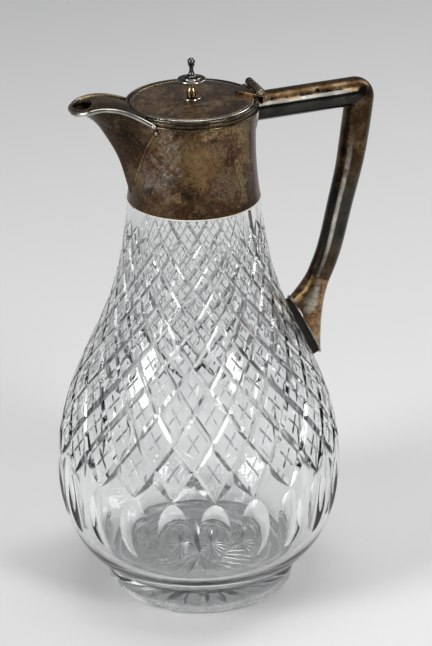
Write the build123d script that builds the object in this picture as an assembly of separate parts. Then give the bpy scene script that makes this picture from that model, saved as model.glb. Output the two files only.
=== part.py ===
from build123d import *
import os
from math import cos, pi, radians, sin

# Claret jug: a cut-glass body with a silver mount cemented round its neck. The mount carries a
# hooded spout towards -X, a hollow handle towards +X and a lid that swings on a hinge whose pin
# lies along Y. Millimetres, +Z up, origin on the jug's axis in the plane that the foot stands on.

# ---------------------------------------------------------------- driving dimensions: glass
FOOT_R = 50.3
FOOT_H = 12.8
FOOT_EDGE = 2.4             # rounding of the foot's lower outer edge
FOOT_RIM = 8.0              # width of the ring that the jug stands on
HOLLOW_DEPTH = 1.6          # recess under the base, inside the foot ring
# Stations of the body above the foot: radius, and height above the station below.
KICK_R, KICK_UP = 60.9, 9.2             # where the body springs from the foot
BELLY_R, BELLY_UP = 75.4, 49.0          # widest place
SHOULDER_R, SHOULDER_UP = 64.0, 49.0
THROAT_R, THROAT_UP = 46.4, 40.0
SLOPE_R, SLOPE_UP = 36.7, 38.0
GLASS_TOP_R, GLASS_TOP_UP = 34.4, 20.5  # shoulder that the silver sits on
GLASS_WALL = 6.0
BASE_T = 13.9               # glass under the wine, above the recess
FLOOR_R = 30.0              # flat part of the inside floor
NECK_STEP = 4.6             # shoulder between body and neck
NECK_WALL = 3.8
NECK_LENGTH = 23.5
LIP_EDGE = 1.6
NECK_EASE = 12.5            # height over which the inside runs into the neck's bore
NECK_EASE_R = 1.5

PRINTS = 22                 # oval thumb prints round the belly, one under each point of the cutting
CUT_TURN = -4.0             # degrees between the handle's plane and a print
PRINT_DROP = 9.0            # middle of a print below the widest place
PRINT_HALF_WIDTH = 8.2
PRINT_HALF_HEIGHT = 18.0
PRINT_DEPTH = 2.0
BELLY_CURVE = 115.0         # radius of the belly's upright curve at the prints
CHIP_TURN = -150.0          # where the foot's edge is chipped, in degrees from the handle
CHIP_REACH = 23.0           # half length of the chip
CHIP_RISE = 2.6             # how far up the chip reaches
CHIP_BITE = 0.5             # how far the chip's middle lies inside the foot's edge

# ---------------------------------------------------------------- driving dimensions: collar
COLLAR_SET = 0.1            # collar's lower edge inside the glass shoulder's edge
COLLAR_WAIST_IN, COLLAR_WAIST_UP = 2.2, 32.5
COLLAR_TOP_IN, COLLAR_LENGTH = 1.3, 49.5
COLLAR_WALL = 0.9
RIM_BULGE = 1.0             # moulded ring's outside beyond the collar's top
RIM_FLAT = 0.8              # how far the ring's outer face is rounded
RIM_H = 2.9
LEDGE_IN = 0.7              # rebate for the lid, inside the collar's outer edge
LEDGE_WIDTH = 1.8
LEDGE_DROP = 1.5
BEAD_WIRE = 0.65            # radius of the thin wire under the ring
BEAD_DROP = 1.7
BEAD_SINK = 0.33            # how deep the wire beds in the collar
BEAD_START, BEAD_END = 14.6, 140.0      # degrees from the handle, on each side

# ---------------------------------------------------------------- driving dimensions: spout
# Stations along the spout: reach beyond the collar's top edge, keel below that edge, half width,
# and rise of the side edges above it.
SPOUT_STATIONS = [
    (-11.0, 76.0, 23.6, -4.4),
    (-6.0, 62.0, 20.3, -1.2),
    (1.0, 43.0, 15.7, 2.6),
    (7.0, 22.0, 13.3, 5.2),
    (13.0, 10.4, 11.9, 6.6),
    (19.0, 1.8, 10.9, 6.9),
    (24.5, -1.8, 9.9, 5.9),
    (29.0, -2.6, 9.0, 4.8),
]
SPOUT_END = (-2.9, 8.4, 4.2)        # keel, half width and edges where the spout is cut off
SPOUT_SPARE = 2.6           # how far the spout's form runs on past the snout's end
KEEL_THICKEN = 1.6          # the keel's wall to the sides' wall
SPOUT_SHARES = [0.0, 0.12, 0.4, 1.0]    # where each side is measured, from keel to top edge
SPOUT_FLARE = 0.68          # power of the curve from keel to top edge
SNOUT_REACH = 30.4          # the snout's end, beyond the collar's top edge
SNOUT_SIDE = 3.0            # length of the snout's slanting corners
SNOUT_TIP_HALF = 2.8
SNOUT_ROUND = 3.4
PLAN_SPARE = 8.0            # the trimming plan outside the spout, beside the collar
PLAN_NEAR = 0.4             # the same where the snout begins
SPOUT_WALL = 1.0
SPOUT_LAP = 0.6             # how far the spout lies over the ring
HOOD_WALL = 1.0
HOOD_RISE = 1.7             # how far the hood's middle stands above its edges
HOOD_LAP = 1.4              # the sheet under the hood to the spout's width
EDGE_WIRE = 1.05            # radius of the wire along the spout's edges
WIRE_OUT = 0.4              # wire's middle outside the spout's edge
WIRE_START_OUT = 0.9        # wire's start outside the spout's edge, at the collar
WIRE_CREST_BACK = 3.0       # wire's highest place, back from the spout's
WIRE_BEND = 30.0            # bend of the wire along the sides
WIRE_SNOUT_BEND = 3.4       # bend of the wire round the snout
MOUTH_BACK = 5.8            # middle of the pouring mouth, back from the snout's end
MOUTH_LONG = 4.9            # half length, outwards
MOUTH_WIDE = 6.4            # half width

# ---------------------------------------------------------------- driving dimensions: handle
ROOT_DROP = 6.0             # the upper arm's axis below the collar's top edge
ELBOW_OUT, ELBOW_RISE = 58.4, 2.4       # elbow from the root
UPPER_ARM_R = 7.5
ELBOW_R = 7.6
ARM_WALL = 0.9
ARM_PLUG = 8.0              # solid root of the upper arm
# Stations of the lower arm from elbow to shoe: share of the way, bow outwards, radius.
LOWER_ARM = [
    (0.158, 1.5, 7.5),
    (0.370, 3.0, 7.1),
    (0.586, 2.8, 6.65),
    (0.805, 2.6, 6.45),
    (1.0, 0.0, 6.3),
]
# The shoe's plate, from its upper to its lower end.
PLATE_TOP_DROP = 66.3       # upper end below the collar's lower edge
PLATE_LENGTH = 33.3         # along the jug's axis
PLATE_TOP_STAND, PLATE_FOOT_STAND = 3.7, 4.8    # plate from the glass, at its two ends
NECK_OUT, NECK_UP = 7.6, 26.8           # end of the lower arm, from the plate's middle
# Stations of the shoe: share of the way along its inner and its outer side, and half width.
SHOE = [
    (0.38, 0.22, 7.4),
    (0.70, 0.50, 8.6),
    (0.90, 0.80, 9.6),
    (1.0, 1.0, 10.4),
]
SHOE_PLATE = 1.2
SHOE_PLATE_LIP = 0.8        # how far the plate stands out round the shoe
SHOE_BED_INSET = 1.0        # how far the plaster stays inside the plate's edge
BED_DEPTH = 9.0             # longest way from the plate to the glass
TONGUE_T = 1.3
TONGUE_LENGTH = 17.5
TONGUE_FOOT_HALF = 2.2
TONGUE_HALF = 8.0
TONGUE_SPREAD = 9.0         # length over which the tongue keeps its full width

# ---------------------------------------------------------------- driving dimensions: lid
LID_SIDE_GAP = 0.6
LID_T = 1.1
LID_RISE = 0.7              # how far the lid's middle stands above its edge
LID_WIRE = 0.6              # how far the wire round the lid's edge bulges
LID_GAP = 0.3               # lid to ledge, when shut
BEZEL_SIDE_GAP = 0.9
BEZEL_WALL = 1.0
BEZEL_H = 3.6
BEZEL_BED = 0.25            # how far the bezel reaches up into the lid's hollow
KNUCKLE_R = 2.1
HINGE_OUT = 0.6             # pin's axis beyond the collar's top edge
HINGE_UP = 0.6              # knuckles above the ring
KNUCKLES = 5                # the first, third and fifth belong to the collar
HINGE_LENGTH = 17.6
KNUCKLE_GAP = 0.15
PIN_R = 0.9
PIN_CLEARANCE = 0.06
PIN_HEAD_R = 1.5
PIN_HEAD_T = 0.6
LEAF_LENGTH = 10.6          # the lid leaf's point, from the pin's axis
LEAF_HALF = 8.4
LEAF_SIDE = 2.5             # length of the leaf's straight sides
LEAF_T = 1.2
LEAF_BACK = 1.3             # the leaf's straight end, inside the pin's axis
SADDLE_T = 1.3              # plate between the collar's rim and the fixed knuckles
SADDLE_DROP = 0.6           # how far the plate reaches down the collar

# ---------------------------------------------------------------- driving dimensions: finial
BASE_RING_R, BASE_RING_H = 4.7, 1.0
BULB_R, BULB_H = 2.9, 5.4
SHANK_R, SHANK_H = 2.1, 3.2
SHANK_FLARE = 0.6
FLANGE_R, FLANGE_H = 7.3, 1.3
FLANGE_ROLL = 0.4           # how far the rolled edge bulges
STEP_R, STEP_H = 3.9, 0.9
CONE_FOOT_R, CONE_TOP_R, CONE_H = 3.2, 1.0, 4.4
CONE_WAIST_R, CONE_WAIST_H = 1.35, 2.0
CUP_R, CUP_H = 1.8, 1.6
BALL_R = 1.95
BALL_SINK = 0.27            # how deep the ball sits in its cup
STUD_R = 0.8
STUD_CLEARANCE = 0.05
STUD_END = 1.0              # what stands out under the nut
NUT_R, NUT_H = 2.6, 1.6
WASHER_R, WASHER_T = 4.0, 0.5

# ---------------------------------------------------------------- places that follow
KICK_H = FOOT_H + KICK_UP
BELLY_H = KICK_H + BELLY_UP
SHOULDER_H = BELLY_H + SHOULDER_UP
THROAT_H = SHOULDER_H + THROAT_UP
SLOPE_H = THROAT_H + SLOPE_UP
FLOOR_H = HOLLOW_DEPTH + BASE_T
PRINT_H = BELLY_H - PRINT_DROP
COLLAR_FOOT_R, COLLAR_FOOT_H = GLASS_TOP_R - COLLAR_SET, SLOPE_H + GLASS_TOP_UP
COLLAR_WAIST_R, COLLAR_WAIST_H = COLLAR_FOOT_R - COLLAR_WAIST_IN, COLLAR_FOOT_H + COLLAR_WAIST_UP
COLLAR_TOP_R, COLLAR_TOP_H = COLLAR_FOOT_R - COLLAR_TOP_IN, COLLAR_FOOT_H + COLLAR_LENGTH
NECK_R = GLASS_TOP_R - NECK_STEP
NECK_BORE = NECK_R - NECK_WALL
LIP_H = COLLAR_FOOT_H + NECK_LENGTH
RIM_R = COLLAR_TOP_R + RIM_BULGE
RIM_TOP_H = COLLAR_TOP_H + RIM_H
LEDGE_R = COLLAR_TOP_R - LEDGE_IN
LEDGE_INNER_R = LEDGE_R - LEDGE_WIDTH
LEDGE_H = RIM_TOP_H - LEDGE_DROP
LID_R = LEDGE_R - LID_SIDE_GAP
LID_UNDER_H = LEDGE_H + LID_GAP
LID_EDGE_H = LID_UNDER_H + LID_T
LID_TOP_H = LID_EDGE_H + LID_RISE
BEZEL_R = LEDGE_INNER_R - BEZEL_SIDE_GAP
HINGE_X = COLLAR_TOP_R + HINGE_OUT
HINGE_H = RIM_TOP_H + HINGE_UP + KNUCKLE_R
ROOT_H = COLLAR_TOP_H - ROOT_DROP
ELBOW_X, ELBOW_H = COLLAR_TOP_R + ELBOW_OUT, ROOT_H + ELBOW_RISE
REACH = 4 * COLLAR_FOOT_R   # longer than any cut needs


# ---------------------------------------------------------------- helpers
def at(r, z):
    """A point in the plane through the jug's axis and its handle."""
    return Vector(r, 0, z)


def outline(*points):
    return Polyline(*[at(r, z) for r, z in points])


def turned(*edges):
    """The solid of revolution of a closed outline in that plane."""
    return revolve(make_face(edges), Axis.Z, 360)


def turned_points(*points):
    return turned(outline(*points, points[0]))


def slab(low_z, high_z):
    """Everything between two heights."""
    block = Box(2 * REACH, 2 * REACH, high_z - low_z, align=(Align.CENTER, Align.CENTER, Align.MIN))
    return Pos(0, 0, low_z) * block


def column(radius, low_z, high_z):
    """A round bar on the jug's axis between two heights."""
    bar = Cylinder(radius, high_z - low_z, align=(Align.CENTER, Align.CENTER, Align.MIN))
    return Pos(0, 0, low_z) * bar


def bar_along_y(x, z, radius, low_y, high_y):
    plane = Plane(origin=(x, low_y, z), x_dir=(1, 0, 0), z_dir=(0, 1, 0))
    return extrude(plane * Circle(radius), high_y - low_y)


# ---------------------------------------------------------------- glass
def body_curve():
    """The glass from its foot to its shoulder."""
    points = [
        (FOOT_R, FOOT_H),
        (KICK_R, KICK_H),
        (BELLY_R, BELLY_H),
        (SHOULDER_R, SHOULDER_H),
        (THROAT_R, THROAT_H),
        (SLOPE_R, SLOPE_H),
        (GLASS_TOP_R, COLLAR_FOOT_H),
    ]
    return Spline(*[at(r, z) for r, z in points])


def inside_curve(outer):
    """The same wall seen from inside: each station moved in by the wall's thickness."""
    stations = [(KICK_R, KICK_H), (BELLY_R, BELLY_H), (SHOULDER_R, SHOULDER_H), (THROAT_R, THROAT_H)]
    inner = [at(FLOOR_R, FLOOR_H)]
    for r, z in stations:
        along = outer.tangent_at(outer.param_at_point(at(r, z)))
        inner.append(at(r - GLASS_WALL * abs(along.Z), z + GLASS_WALL * along.X))
    inner.append(at(NECK_BORE + NECK_EASE_R, COLLAR_FOOT_H - NECK_EASE))
    inner.append(at(NECK_BORE, COLLAR_FOOT_H))
    return Spline(*inner, tangents=[(1, 0, 0), (0, 0, 1)])


def print_cutter():
    """A spheroid whose dip into the belly leaves one oval of the stated size."""
    round_curve = 2 * PRINT_DEPTH / PRINT_HALF_WIDTH**2 - 1 / BELLY_R
    long_curve = 2 * PRINT_DEPTH / PRINT_HALF_HEIGHT**2 - 1 / BELLY_CURVE
    short_axis = 1 / round_curve
    long_axis = (short_axis / long_curve) ** 0.5
    half = Ellipse(short_axis, long_axis) & Pos(short_axis, 0) * Rectangle(2 * short_axis, 2 * long_axis)
    spheroid = revolve(Plane.XZ * half, Axis.Z, 360)
    return Pos(BELLY_R - PRINT_DEPTH + short_axis, 0, PRINT_H) * spheroid


def foot_chip():
    """The broken place: a shallow bite out of the foot's lower edge."""
    radius = (CHIP_REACH**2 + CHIP_RISE**2) / (2 * CHIP_RISE)
    bite = Sphere(radius)
    place = Pos(FOOT_R - CHIP_BITE, 0, CHIP_RISE - radius)
    return Rot(0, 0, CHIP_TURN) * place * bite


def glass_body():
    outer = body_curve()
    inner = inside_curve(outer)
    stand_r = FOOT_R - FOOT_RIM
    profile = [
        outline(
            (FLOOR_R, FLOOR_H),
            (0, FLOOR_H),
            (0, HOLLOW_DEPTH),
            (stand_r - HOLLOW_DEPTH, HOLLOW_DEPTH),
            (stand_r, 0),
            (FOOT_R - FOOT_EDGE, 0),
        ),
        ThreePointArc(
            at(FOOT_R - FOOT_EDGE, 0),
            at(FOOT_R - FOOT_EDGE * (1 - cos(pi / 4)), FOOT_EDGE * (1 - sin(pi / 4))),
            at(FOOT_R, FOOT_EDGE),
        ),
        Line(at(FOOT_R, FOOT_EDGE), at(FOOT_R, FOOT_H)),
        outer,
        outline(
            (GLASS_TOP_R, COLLAR_FOOT_H),
            (NECK_R, COLLAR_FOOT_H),
            (NECK_R, LIP_H - LIP_EDGE),
            (NECK_R - LIP_EDGE, LIP_H),
            (NECK_BORE, LIP_H),
            (NECK_BORE, COLLAR_FOOT_H),
        ),
        inner,
    ]
    body = turned(*profile)
    cutters = [
        Rot(0, 0, CUT_TURN + 360 * n / PRINTS) * print_cutter() for n in range(PRINTS)
    ]
    cutters.append(foot_chip() & slab(0, CHIP_RISE))
    return body - cutters


# ---------------------------------------------------------------- collar
def collar_line(inwards=0.0):
    return ThreePointArc(
        at(COLLAR_FOOT_R - inwards, COLLAR_FOOT_H),
        at(COLLAR_WAIST_R - inwards, COLLAR_WAIST_H),
        at(COLLAR_TOP_R - inwards, COLLAR_TOP_H),
    )


def collar_fill(inwards, inner_r):
    """The solid between the collar's line, moved inwards, and a bore."""
    line = collar_line(inwards)
    return turned(
        line,
        outline(
            (COLLAR_TOP_R - inwards, COLLAR_TOP_H),
            (inner_r, COLLAR_TOP_H),
            (inner_r, COLLAR_FOOT_H),
            (COLLAR_FOOT_R - inwards, COLLAR_FOOT_H),
        ),
    )


def bead_wires():
    """The wire under the ring: one arc on each side, from the handle's plate to the spout."""
    bead_h = COLLAR_TOP_H - BEAD_DROP
    bead_r = COLLAR_TOP_R + BEAD_WIRE - BEAD_SINK
    circle = Plane(origin=at(bead_r, bead_h), x_dir=(1, 0, 0), z_dir=(0, -1, 0)) * Circle(BEAD_WIRE)
    inside = outline(
        (COLLAR_TOP_R, COLLAR_TOP_H),
        (0, COLLAR_TOP_H),
        (0, COLLAR_FOOT_H),
        (COLLAR_FOOT_R, COLLAR_FOOT_H),
    )
    section = circle - make_face([collar_line(), inside])
    arc = revolve(section, Axis.Z, BEAD_END - BEAD_START)
    return Compound(children=[Rot(0, 0, BEAD_START) * arc, Rot(0, 0, -BEAD_END) * arc])


def rim_ring():
    """Moulded ring with a rebate for the lid and a rounded outer face."""
    flat_r = RIM_R - RIM_FLAT
    middle = at(RIM_R, COLLAR_TOP_H + RIM_H / 2)
    return turned(
        ThreePointArc(at(flat_r, COLLAR_TOP_H), middle, at(flat_r, RIM_TOP_H)),
        outline(
            (flat_r, RIM_TOP_H),
            (LEDGE_R, RIM_TOP_H),
            (LEDGE_R, LEDGE_H),
            (LEDGE_INNER_R, LEDGE_H),
            (LEDGE_INNER_R, COLLAR_TOP_H),
            (flat_r, COLLAR_TOP_H),
        ),
    )


def rim_block():
    """The ring's outer shape with no bore, for trimming what meets it from outside."""
    return rim_ring() + column(LEDGE_R, COLLAR_TOP_H, RIM_TOP_H)


def mount_core(outwards=0.0):
    """Collar and ring as one block, the collar grown outwards by what lies on it."""
    below = column(COLLAR_FOOT_R + outwards, COLLAR_FOOT_H - REACH / 4, COLLAR_FOOT_H)
    return collar_fill(-outwards, 0) + rim_block() + below


# ---------------------------------------------------------------- spout
def spout_places():
    """The stations as distance from the axis, keel height, half width and edge height."""
    stations = SPOUT_STATIONS + [(SNOUT_REACH + SPOUT_SPARE, *SPOUT_END)]
    return [
        (COLLAR_TOP_R + reach, COLLAR_TOP_H - keel, half, COLLAR_TOP_H + rise)
        for reach, keel, half, rise in stations
    ]


def spout_section(station, inset, lift):
    """The spout across its length: a rounded keel, hollow flared sides and a domed top."""
    x, keel, half, top = station
    half -= inset
    keel += inset * KEEL_THICKEN
    top += lift
    height = top - keel
    side = [Vector(-x, half * share**SPOUT_FLARE, keel + height * share) for share in SPOUT_SHARES]
    mirrored = [Vector(p.X, -p.Y, p.Z) for p in reversed(side[1:])]
    skirt = Spline(*mirrored, side[0], *side[1:])
    dome = ThreePointArc(side[-1], Vector(-x, 0, top + HOOD_RISE), mirrored[0])
    return Face(Wire([skirt, dome]))


def spout_loft(inset=0.0, lift=0.0):
    return loft([spout_section(station, inset, lift) for station in spout_places()], ruled=True)


def under_hood_block():
    """Everything under a sheet that follows the dome, one hood's thickness down."""
    faces = []
    for x, _, half, top in spout_places():
        crown = top + HOOD_RISE - HOOD_WALL
        low = crown - HOOD_RISE * HOOD_LAP**2
        wide = half * HOOD_LAP
        dome = ThreePointArc(Vector(-x, wide, low), Vector(-x, 0, crown), Vector(-x, -wide, low))
        deep = low - REACH
        skirt = Polyline(
            Vector(-x, -wide, low), Vector(-x, -wide, deep), Vector(-x, wide, deep), Vector(-x, wide, low)
        )
        faces.append(Face(Wire([dome, *skirt.edges()])))
    return loft(faces, ruled=True)


def snout_corner():
    """Where the straight sides end and the snout begins, seen from above."""
    snout_half = spout_places()[-2][2]
    return COLLAR_TOP_R + SNOUT_REACH - SNOUT_SIDE, snout_half


def snout_plan(inset=0.0):
    """The spout seen from above, with its rounded snout."""
    places = spout_places()
    tip = COLLAR_TOP_R + SNOUT_REACH
    corner_x, corner_half = snout_corner()
    side = [
        (-places[0][0] + SPOUT_SPARE, places[0][2] + PLAN_SPARE),
        (-places[1][0], places[1][2] + PLAN_SPARE),
        (-places[5][0], places[5][2] + PLAN_NEAR),
        (-corner_x, corner_half),
        (-tip, SNOUT_TIP_HALF),
    ]
    points = side + [(x, -y) for x, y in reversed(side)]
    face = make_face(Polyline(*points, points[0]))
    snout_end = (corner_x + places[5][0]) / 2
    face = fillet([v for v in face.vertices() if v.X < -snout_end], SNOUT_ROUND)
    if inset:
        face = offset(face, -inset)
    return Pos(0, 0, COLLAR_FOOT_H) * extrude(face, REACH)


def spout_route():
    """The wire's way along one edge, round the snout and back."""
    places = spout_places()
    root_x, _, root_half, root_h = places[1]
    neck_x, _, neck_half, neck_h = places[2]
    crest_x, _, crest_half, crest_h = places[5]
    corner_x, corner_half = snout_corner()
    snout_h = places[-2][3]
    one_side = [
        Vector(-root_x + WIRE_OUT, root_half + WIRE_START_OUT, root_h),
        Vector(-neck_x, neck_half + WIRE_OUT, neck_h + WIRE_OUT),
        Vector(-crest_x + WIRE_CREST_BACK, crest_half + WIRE_OUT, crest_h + WIRE_OUT),
        Vector(-corner_x, corner_half - WIRE_OUT / 2, snout_h - WIRE_OUT / 4),
        Vector(-COLLAR_TOP_R - SNOUT_REACH, SNOUT_TIP_HALF, snout_h - WIRE_OUT),
    ]
    points = one_side + [Vector(p.X, -p.Y, p.Z) for p in reversed(one_side)]
    half_bends = [WIRE_BEND, WIRE_BEND, WIRE_SNOUT_BEND, WIRE_SNOUT_BEND]
    return FilletPolyline(*points, radius=half_bends + half_bends[::-1])


def edge_wire():
    route = spout_route()
    start = Plane(origin=route @ 0, z_dir=route % 0)
    wire = sweep(start * Circle(EDGE_WIRE), route)
    return wire - mount_core()


def build_spout(wire):
    """Body, hood and the space that the wine runs through."""
    plan = snout_plan()
    lid_room = column(RIM_R - SPOUT_LAP, LEDGE_H, LEDGE_H + REACH)
    outer = (spout_loft() & plan) - lid_room
    under_hood = under_hood_block()
    channel = spout_loft(SPOUT_WALL, HOOD_WALL) & snout_plan(SPOUT_WALL)
    core = mount_core()
    mouth_x = COLLAR_TOP_R + SNOUT_REACH - MOUTH_BACK
    mouth = Pos(-mouth_x, 0, COLLAR_FOOT_H) * extrude(Ellipse(MOUTH_LONG, MOUTH_WIDE), REACH)
    hood = outer - under_hood - core - mouth - wire
    body = (outer & under_hood) - channel - core - wire
    return body, hood, channel


# ---------------------------------------------------------------- handle
def upper_arm_outer(inset=0.0):
    root, elbow = at(0, ROOT_H), at(ELBOW_X, ELBOW_H)
    along = elbow - root
    tube = extrude(Plane(origin=root, z_dir=along) * Circle(UPPER_ARM_R - inset), along.length)
    return tube + Pos(ELBOW_X, 0, ELBOW_H) * Sphere(ELBOW_R - inset)


def upper_arm():
    hollow = upper_arm_outer(ARM_WALL) - column(COLLAR_TOP_R + ARM_PLUG, 0, COLLAR_TOP_H + REACH)
    return upper_arm_outer() - mount_core(TONGUE_T) - hollow


def off_glass(height, stand):
    """The point at that height on the glass, moved straight out from it."""
    curve = body_curve()
    low, high = 0.0, 1.0
    while high - low > 1e-6:
        middle = (low + high) / 2
        if (curve @ middle).Z < height:
            low = middle
        else:
            high = middle
    along = curve % low
    return curve @ low + Vector(along.Z, 0, -along.X) * stand


def between(a, b, share):
    return a + (b - a) * share


def lower_stations():
    """Centre, direction and half sizes of each section from the elbow down to the plate."""
    plate_top_h = COLLAR_FOOT_H - PLATE_TOP_DROP
    top = off_glass(plate_top_h, PLATE_TOP_STAND)
    foot = off_glass(plate_top_h - PLATE_LENGTH, PLATE_FOOT_STAND)
    elbow = at(ELBOW_X, ELBOW_H)
    neck = (top + foot) / 2 + at(NECK_OUT, NECK_UP)
    way = neck - elbow
    outwards = Vector(-way.Z, 0, way.X).normalized()
    path = [elbow] + [between(elbow, neck, share) + outwards * bow for share, bow, _ in LOWER_ARM]
    axis = Spline(*path)
    rows = []
    for point, radius in zip(path, [UPPER_ARM_R] + [r for _, _, r in LOWER_ARM]):
        rows.append((point, axis.tangent_at(axis.param_at_point(point)), radius, radius))
    direction, neck_r = rows[-1][1], rows[-1][2]
    side = Vector(direction.Z, 0, -direction.X) * neck_r
    for inner_share, outer_share, half in SHOE:
        inner = between(neck + side, top, inner_share)
        outer = between(neck - side, foot, outer_share)
        across = outer - inner
        normal = Vector(across.Z, 0, -across.X).normalized()
        rows.append(((inner + outer) / 2, normal, across.length / 2, half))
    return rows


def across_plane(point, direction):
    return Plane(origin=point, x_dir=(0, 1, 0), z_dir=direction)


def arm_loft(rows, inset=0.0):
    faces = []
    for point, direction, long_r, half in rows:
        section = across_plane(point, direction) * Ellipse(half - inset, long_r - inset)
        faces.append(section.face())
    return loft(faces)


def handle_lower():
    rows = lower_stations()
    neck_row = len(LOWER_ARM)
    arm_rows, shoe_rows = rows[: neck_row + 1], rows[neck_row:]
    arm = arm_loft(arm_rows) - arm_loft(arm_rows, ARM_WALL) - upper_arm_outer()
    shoe = arm_loft(shoe_rows) - arm_loft(shoe_rows, ARM_WALL)
    return arm, shoe


def shoe_plane():
    point, normal, long_r, half = lower_stations()[-1]
    return across_plane(point, normal), long_r, half


def shoe_plate():
    plane, long_r, half = shoe_plane()
    lip = SHOE_PLATE_LIP
    return extrude(plane * Ellipse(half + lip, long_r + lip), SHOE_PLATE)


def shoe_bed(glass):
    """Plaster between the shoe's plate and the glass."""
    plane, long_r, half = shoe_plane()
    inset = SHOE_BED_INSET - SHOE_PLATE_LIP
    seat = plane.offset(SHOE_PLATE)
    block = extrude(seat * Ellipse(half - inset, long_r - inset), BED_DEPTH)
    closing = outline((GLASS_TOP_R, COLLAR_FOOT_H), (0, COLLAR_FOOT_H), (0, FOOT_H), (FOOT_R, FOOT_H))
    solid_glass = turned(body_curve(), closing)
    return block - solid_glass - glass


def handle_tongue():
    """Plate on the collar that spreads the handle's pull, narrowing to a foot."""
    sheet = collar_fill(-TONGUE_T, 0) - collar_fill(0, 0)
    top = COLLAR_TOP_H
    side = [
        (TONGUE_FOOT_HALF, top - TONGUE_LENGTH),
        (TONGUE_HALF, top - TONGUE_SPREAD),
        (TONGUE_HALF, top),
    ]
    points = side + [(-y, z) for y, z in reversed(side)]
    shape = make_face(Polyline(*[Vector(0, y, z) for y, z in points + points[:1]]))
    return sheet & extrude(shape, REACH, dir=(1, 0, 0))


# ---------------------------------------------------------------- lid
def lid_disc():
    crown_under = LID_UNDER_H + LID_RISE
    edge_r = LID_R - LID_WIRE
    under = ThreePointArc(at(-edge_r, LID_UNDER_H), at(0, crown_under), at(edge_r, LID_UNDER_H))
    over = ThreePointArc(at(-edge_r, LID_EDGE_H), at(0, LID_TOP_H), at(edge_r, LID_EDGE_H))
    under, over = under.trim(0.5, 1), over.trim(0.5, 1)
    plate = turned(under, Line(under @ 1, over @ 1), over, Line(over @ 0, under @ 0))
    return plate - finial_bore()


def lid_wire():
    """Rounded wire soldered round the lid's edge."""
    middle = (LID_UNDER_H + LID_EDGE_H) / 2
    edge_r = LID_R - LID_WIRE
    return turned(
        ThreePointArc(at(edge_r, LID_UNDER_H), at(LID_R, middle), at(edge_r, LID_EDGE_H)),
        Line(at(edge_r, LID_EDGE_H), at(edge_r, LID_UNDER_H)),
    )


def lid_bezel(disc):
    low = LID_UNDER_H - BEZEL_H
    ring = column(BEZEL_R, low, LID_TOP_H) - column(BEZEL_R - BEZEL_WALL, low, LID_TOP_H)
    return (ring - disc) & slab(0, LID_UNDER_H + BEZEL_BED)


def knuckle_spans(first):
    """The stretches along Y of every second knuckle, less the gaps between them."""
    pitch = HINGE_LENGTH / KNUCKLES
    spans = []
    for n in range(first, KNUCKLES, 2):
        low = n * pitch - HINGE_LENGTH / 2
        spans.append((low + KNUCKLE_GAP / 2, low + pitch - KNUCKLE_GAP / 2))
    return spans


def swing_room(first):
    """Room round every second knuckle, for the other leaf to turn past."""
    bars = []
    for low, high in knuckle_spans(first):
        bars.append(
            bar_along_y(HINGE_X, HINGE_H, KNUCKLE_R + LID_GAP, low - KNUCKLE_GAP, high + KNUCKLE_GAP)
        )
    return bars


def pin_bore():
    return bar_along_y(HINGE_X, HINGE_H, PIN_R + PIN_CLEARANCE, -REACH, REACH)


def lid_leaf(disc):
    """Pointed plate on the lid, rolled into the lid's two knuckles."""
    base_x = HINGE_X - LEAF_BACK
    side_x = base_x - LEAF_SIDE
    top = LID_TOP_H + LEAF_T
    half = [(side_x, LEAF_HALF), (base_x, LEAF_HALF)]
    points = [(HINGE_X - LEAF_LENGTH, 0), *half, *[(x, -y) for x, y in reversed(half)]]
    plan = make_face(Polyline(*points, points[0]))
    plate = Pos(0, 0, LID_UNDER_H) * extrude(plan, top - LID_UNDER_H)
    plate = plate - disc - column(LID_R + LID_GAP, LID_UNDER_H, LID_EDGE_H) - rim_space()
    knuckles = [bar_along_y(HINGE_X, HINGE_H, KNUCKLE_R, *span) for span in knuckle_spans(1)]
    return plate - swing_room(0) + knuckles - pin_bore()


def rim_space():
    """Room that the moving leaf leaves over the collar's ring."""
    top = RIM_TOP_H + LID_GAP
    return column(REACH, 0, top) - column(LEDGE_R - LID_GAP, 0, top)


def hinge_saddle():
    """Plate on the collar's ring with the three knuckles that stay still."""
    corner = (Align.MIN, Align.MIN, Align.MIN)
    inner_x = LEDGE_R + LID_GAP
    back_x = HINGE_X + KNUCKLE_R - SADDLE_T / 2
    solids = []
    for low, high in knuckle_spans(0):
        solids.append(bar_along_y(HINGE_X, HINGE_H, KNUCKLE_R, low, high))
        foot = Box(back_x + SADDLE_T - inner_x, high - low, HINGE_H - RIM_TOP_H, align=corner)
        solids.append(Pos(inner_x, low, RIM_TOP_H) * foot)
    low_h = COLLAR_TOP_H - SADDLE_DROP
    back = Box(SADDLE_T, HINGE_LENGTH, HINGE_H - KNUCKLE_R / 2 - low_h, align=corner)
    saddle = Pos(back_x, -HINGE_LENGTH / 2, low_h) * back + solids
    return saddle - swing_room(1) - mount_core(TONGUE_T) - upper_arm_outer() - pin_bore()


def hinge_pin():
    shank = bar_along_y(HINGE_X, HINGE_H, PIN_R, -HINGE_LENGTH / 2, HINGE_LENGTH / 2)
    heads = [
        bar_along_y(HINGE_X, HINGE_H, PIN_HEAD_R, side - PIN_HEAD_T / 2, side + PIN_HEAD_T / 2)
        for side in (-HINGE_LENGTH / 2 - PIN_HEAD_T / 2, HINGE_LENGTH / 2 + PIN_HEAD_T / 2)
    ]
    return shank + heads


# ---------------------------------------------------------------- finial
def finial_bore():
    return column(STUD_R + STUD_CLEARANCE, COLLAR_FOOT_H, COLLAR_FOOT_H + REACH)


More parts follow.
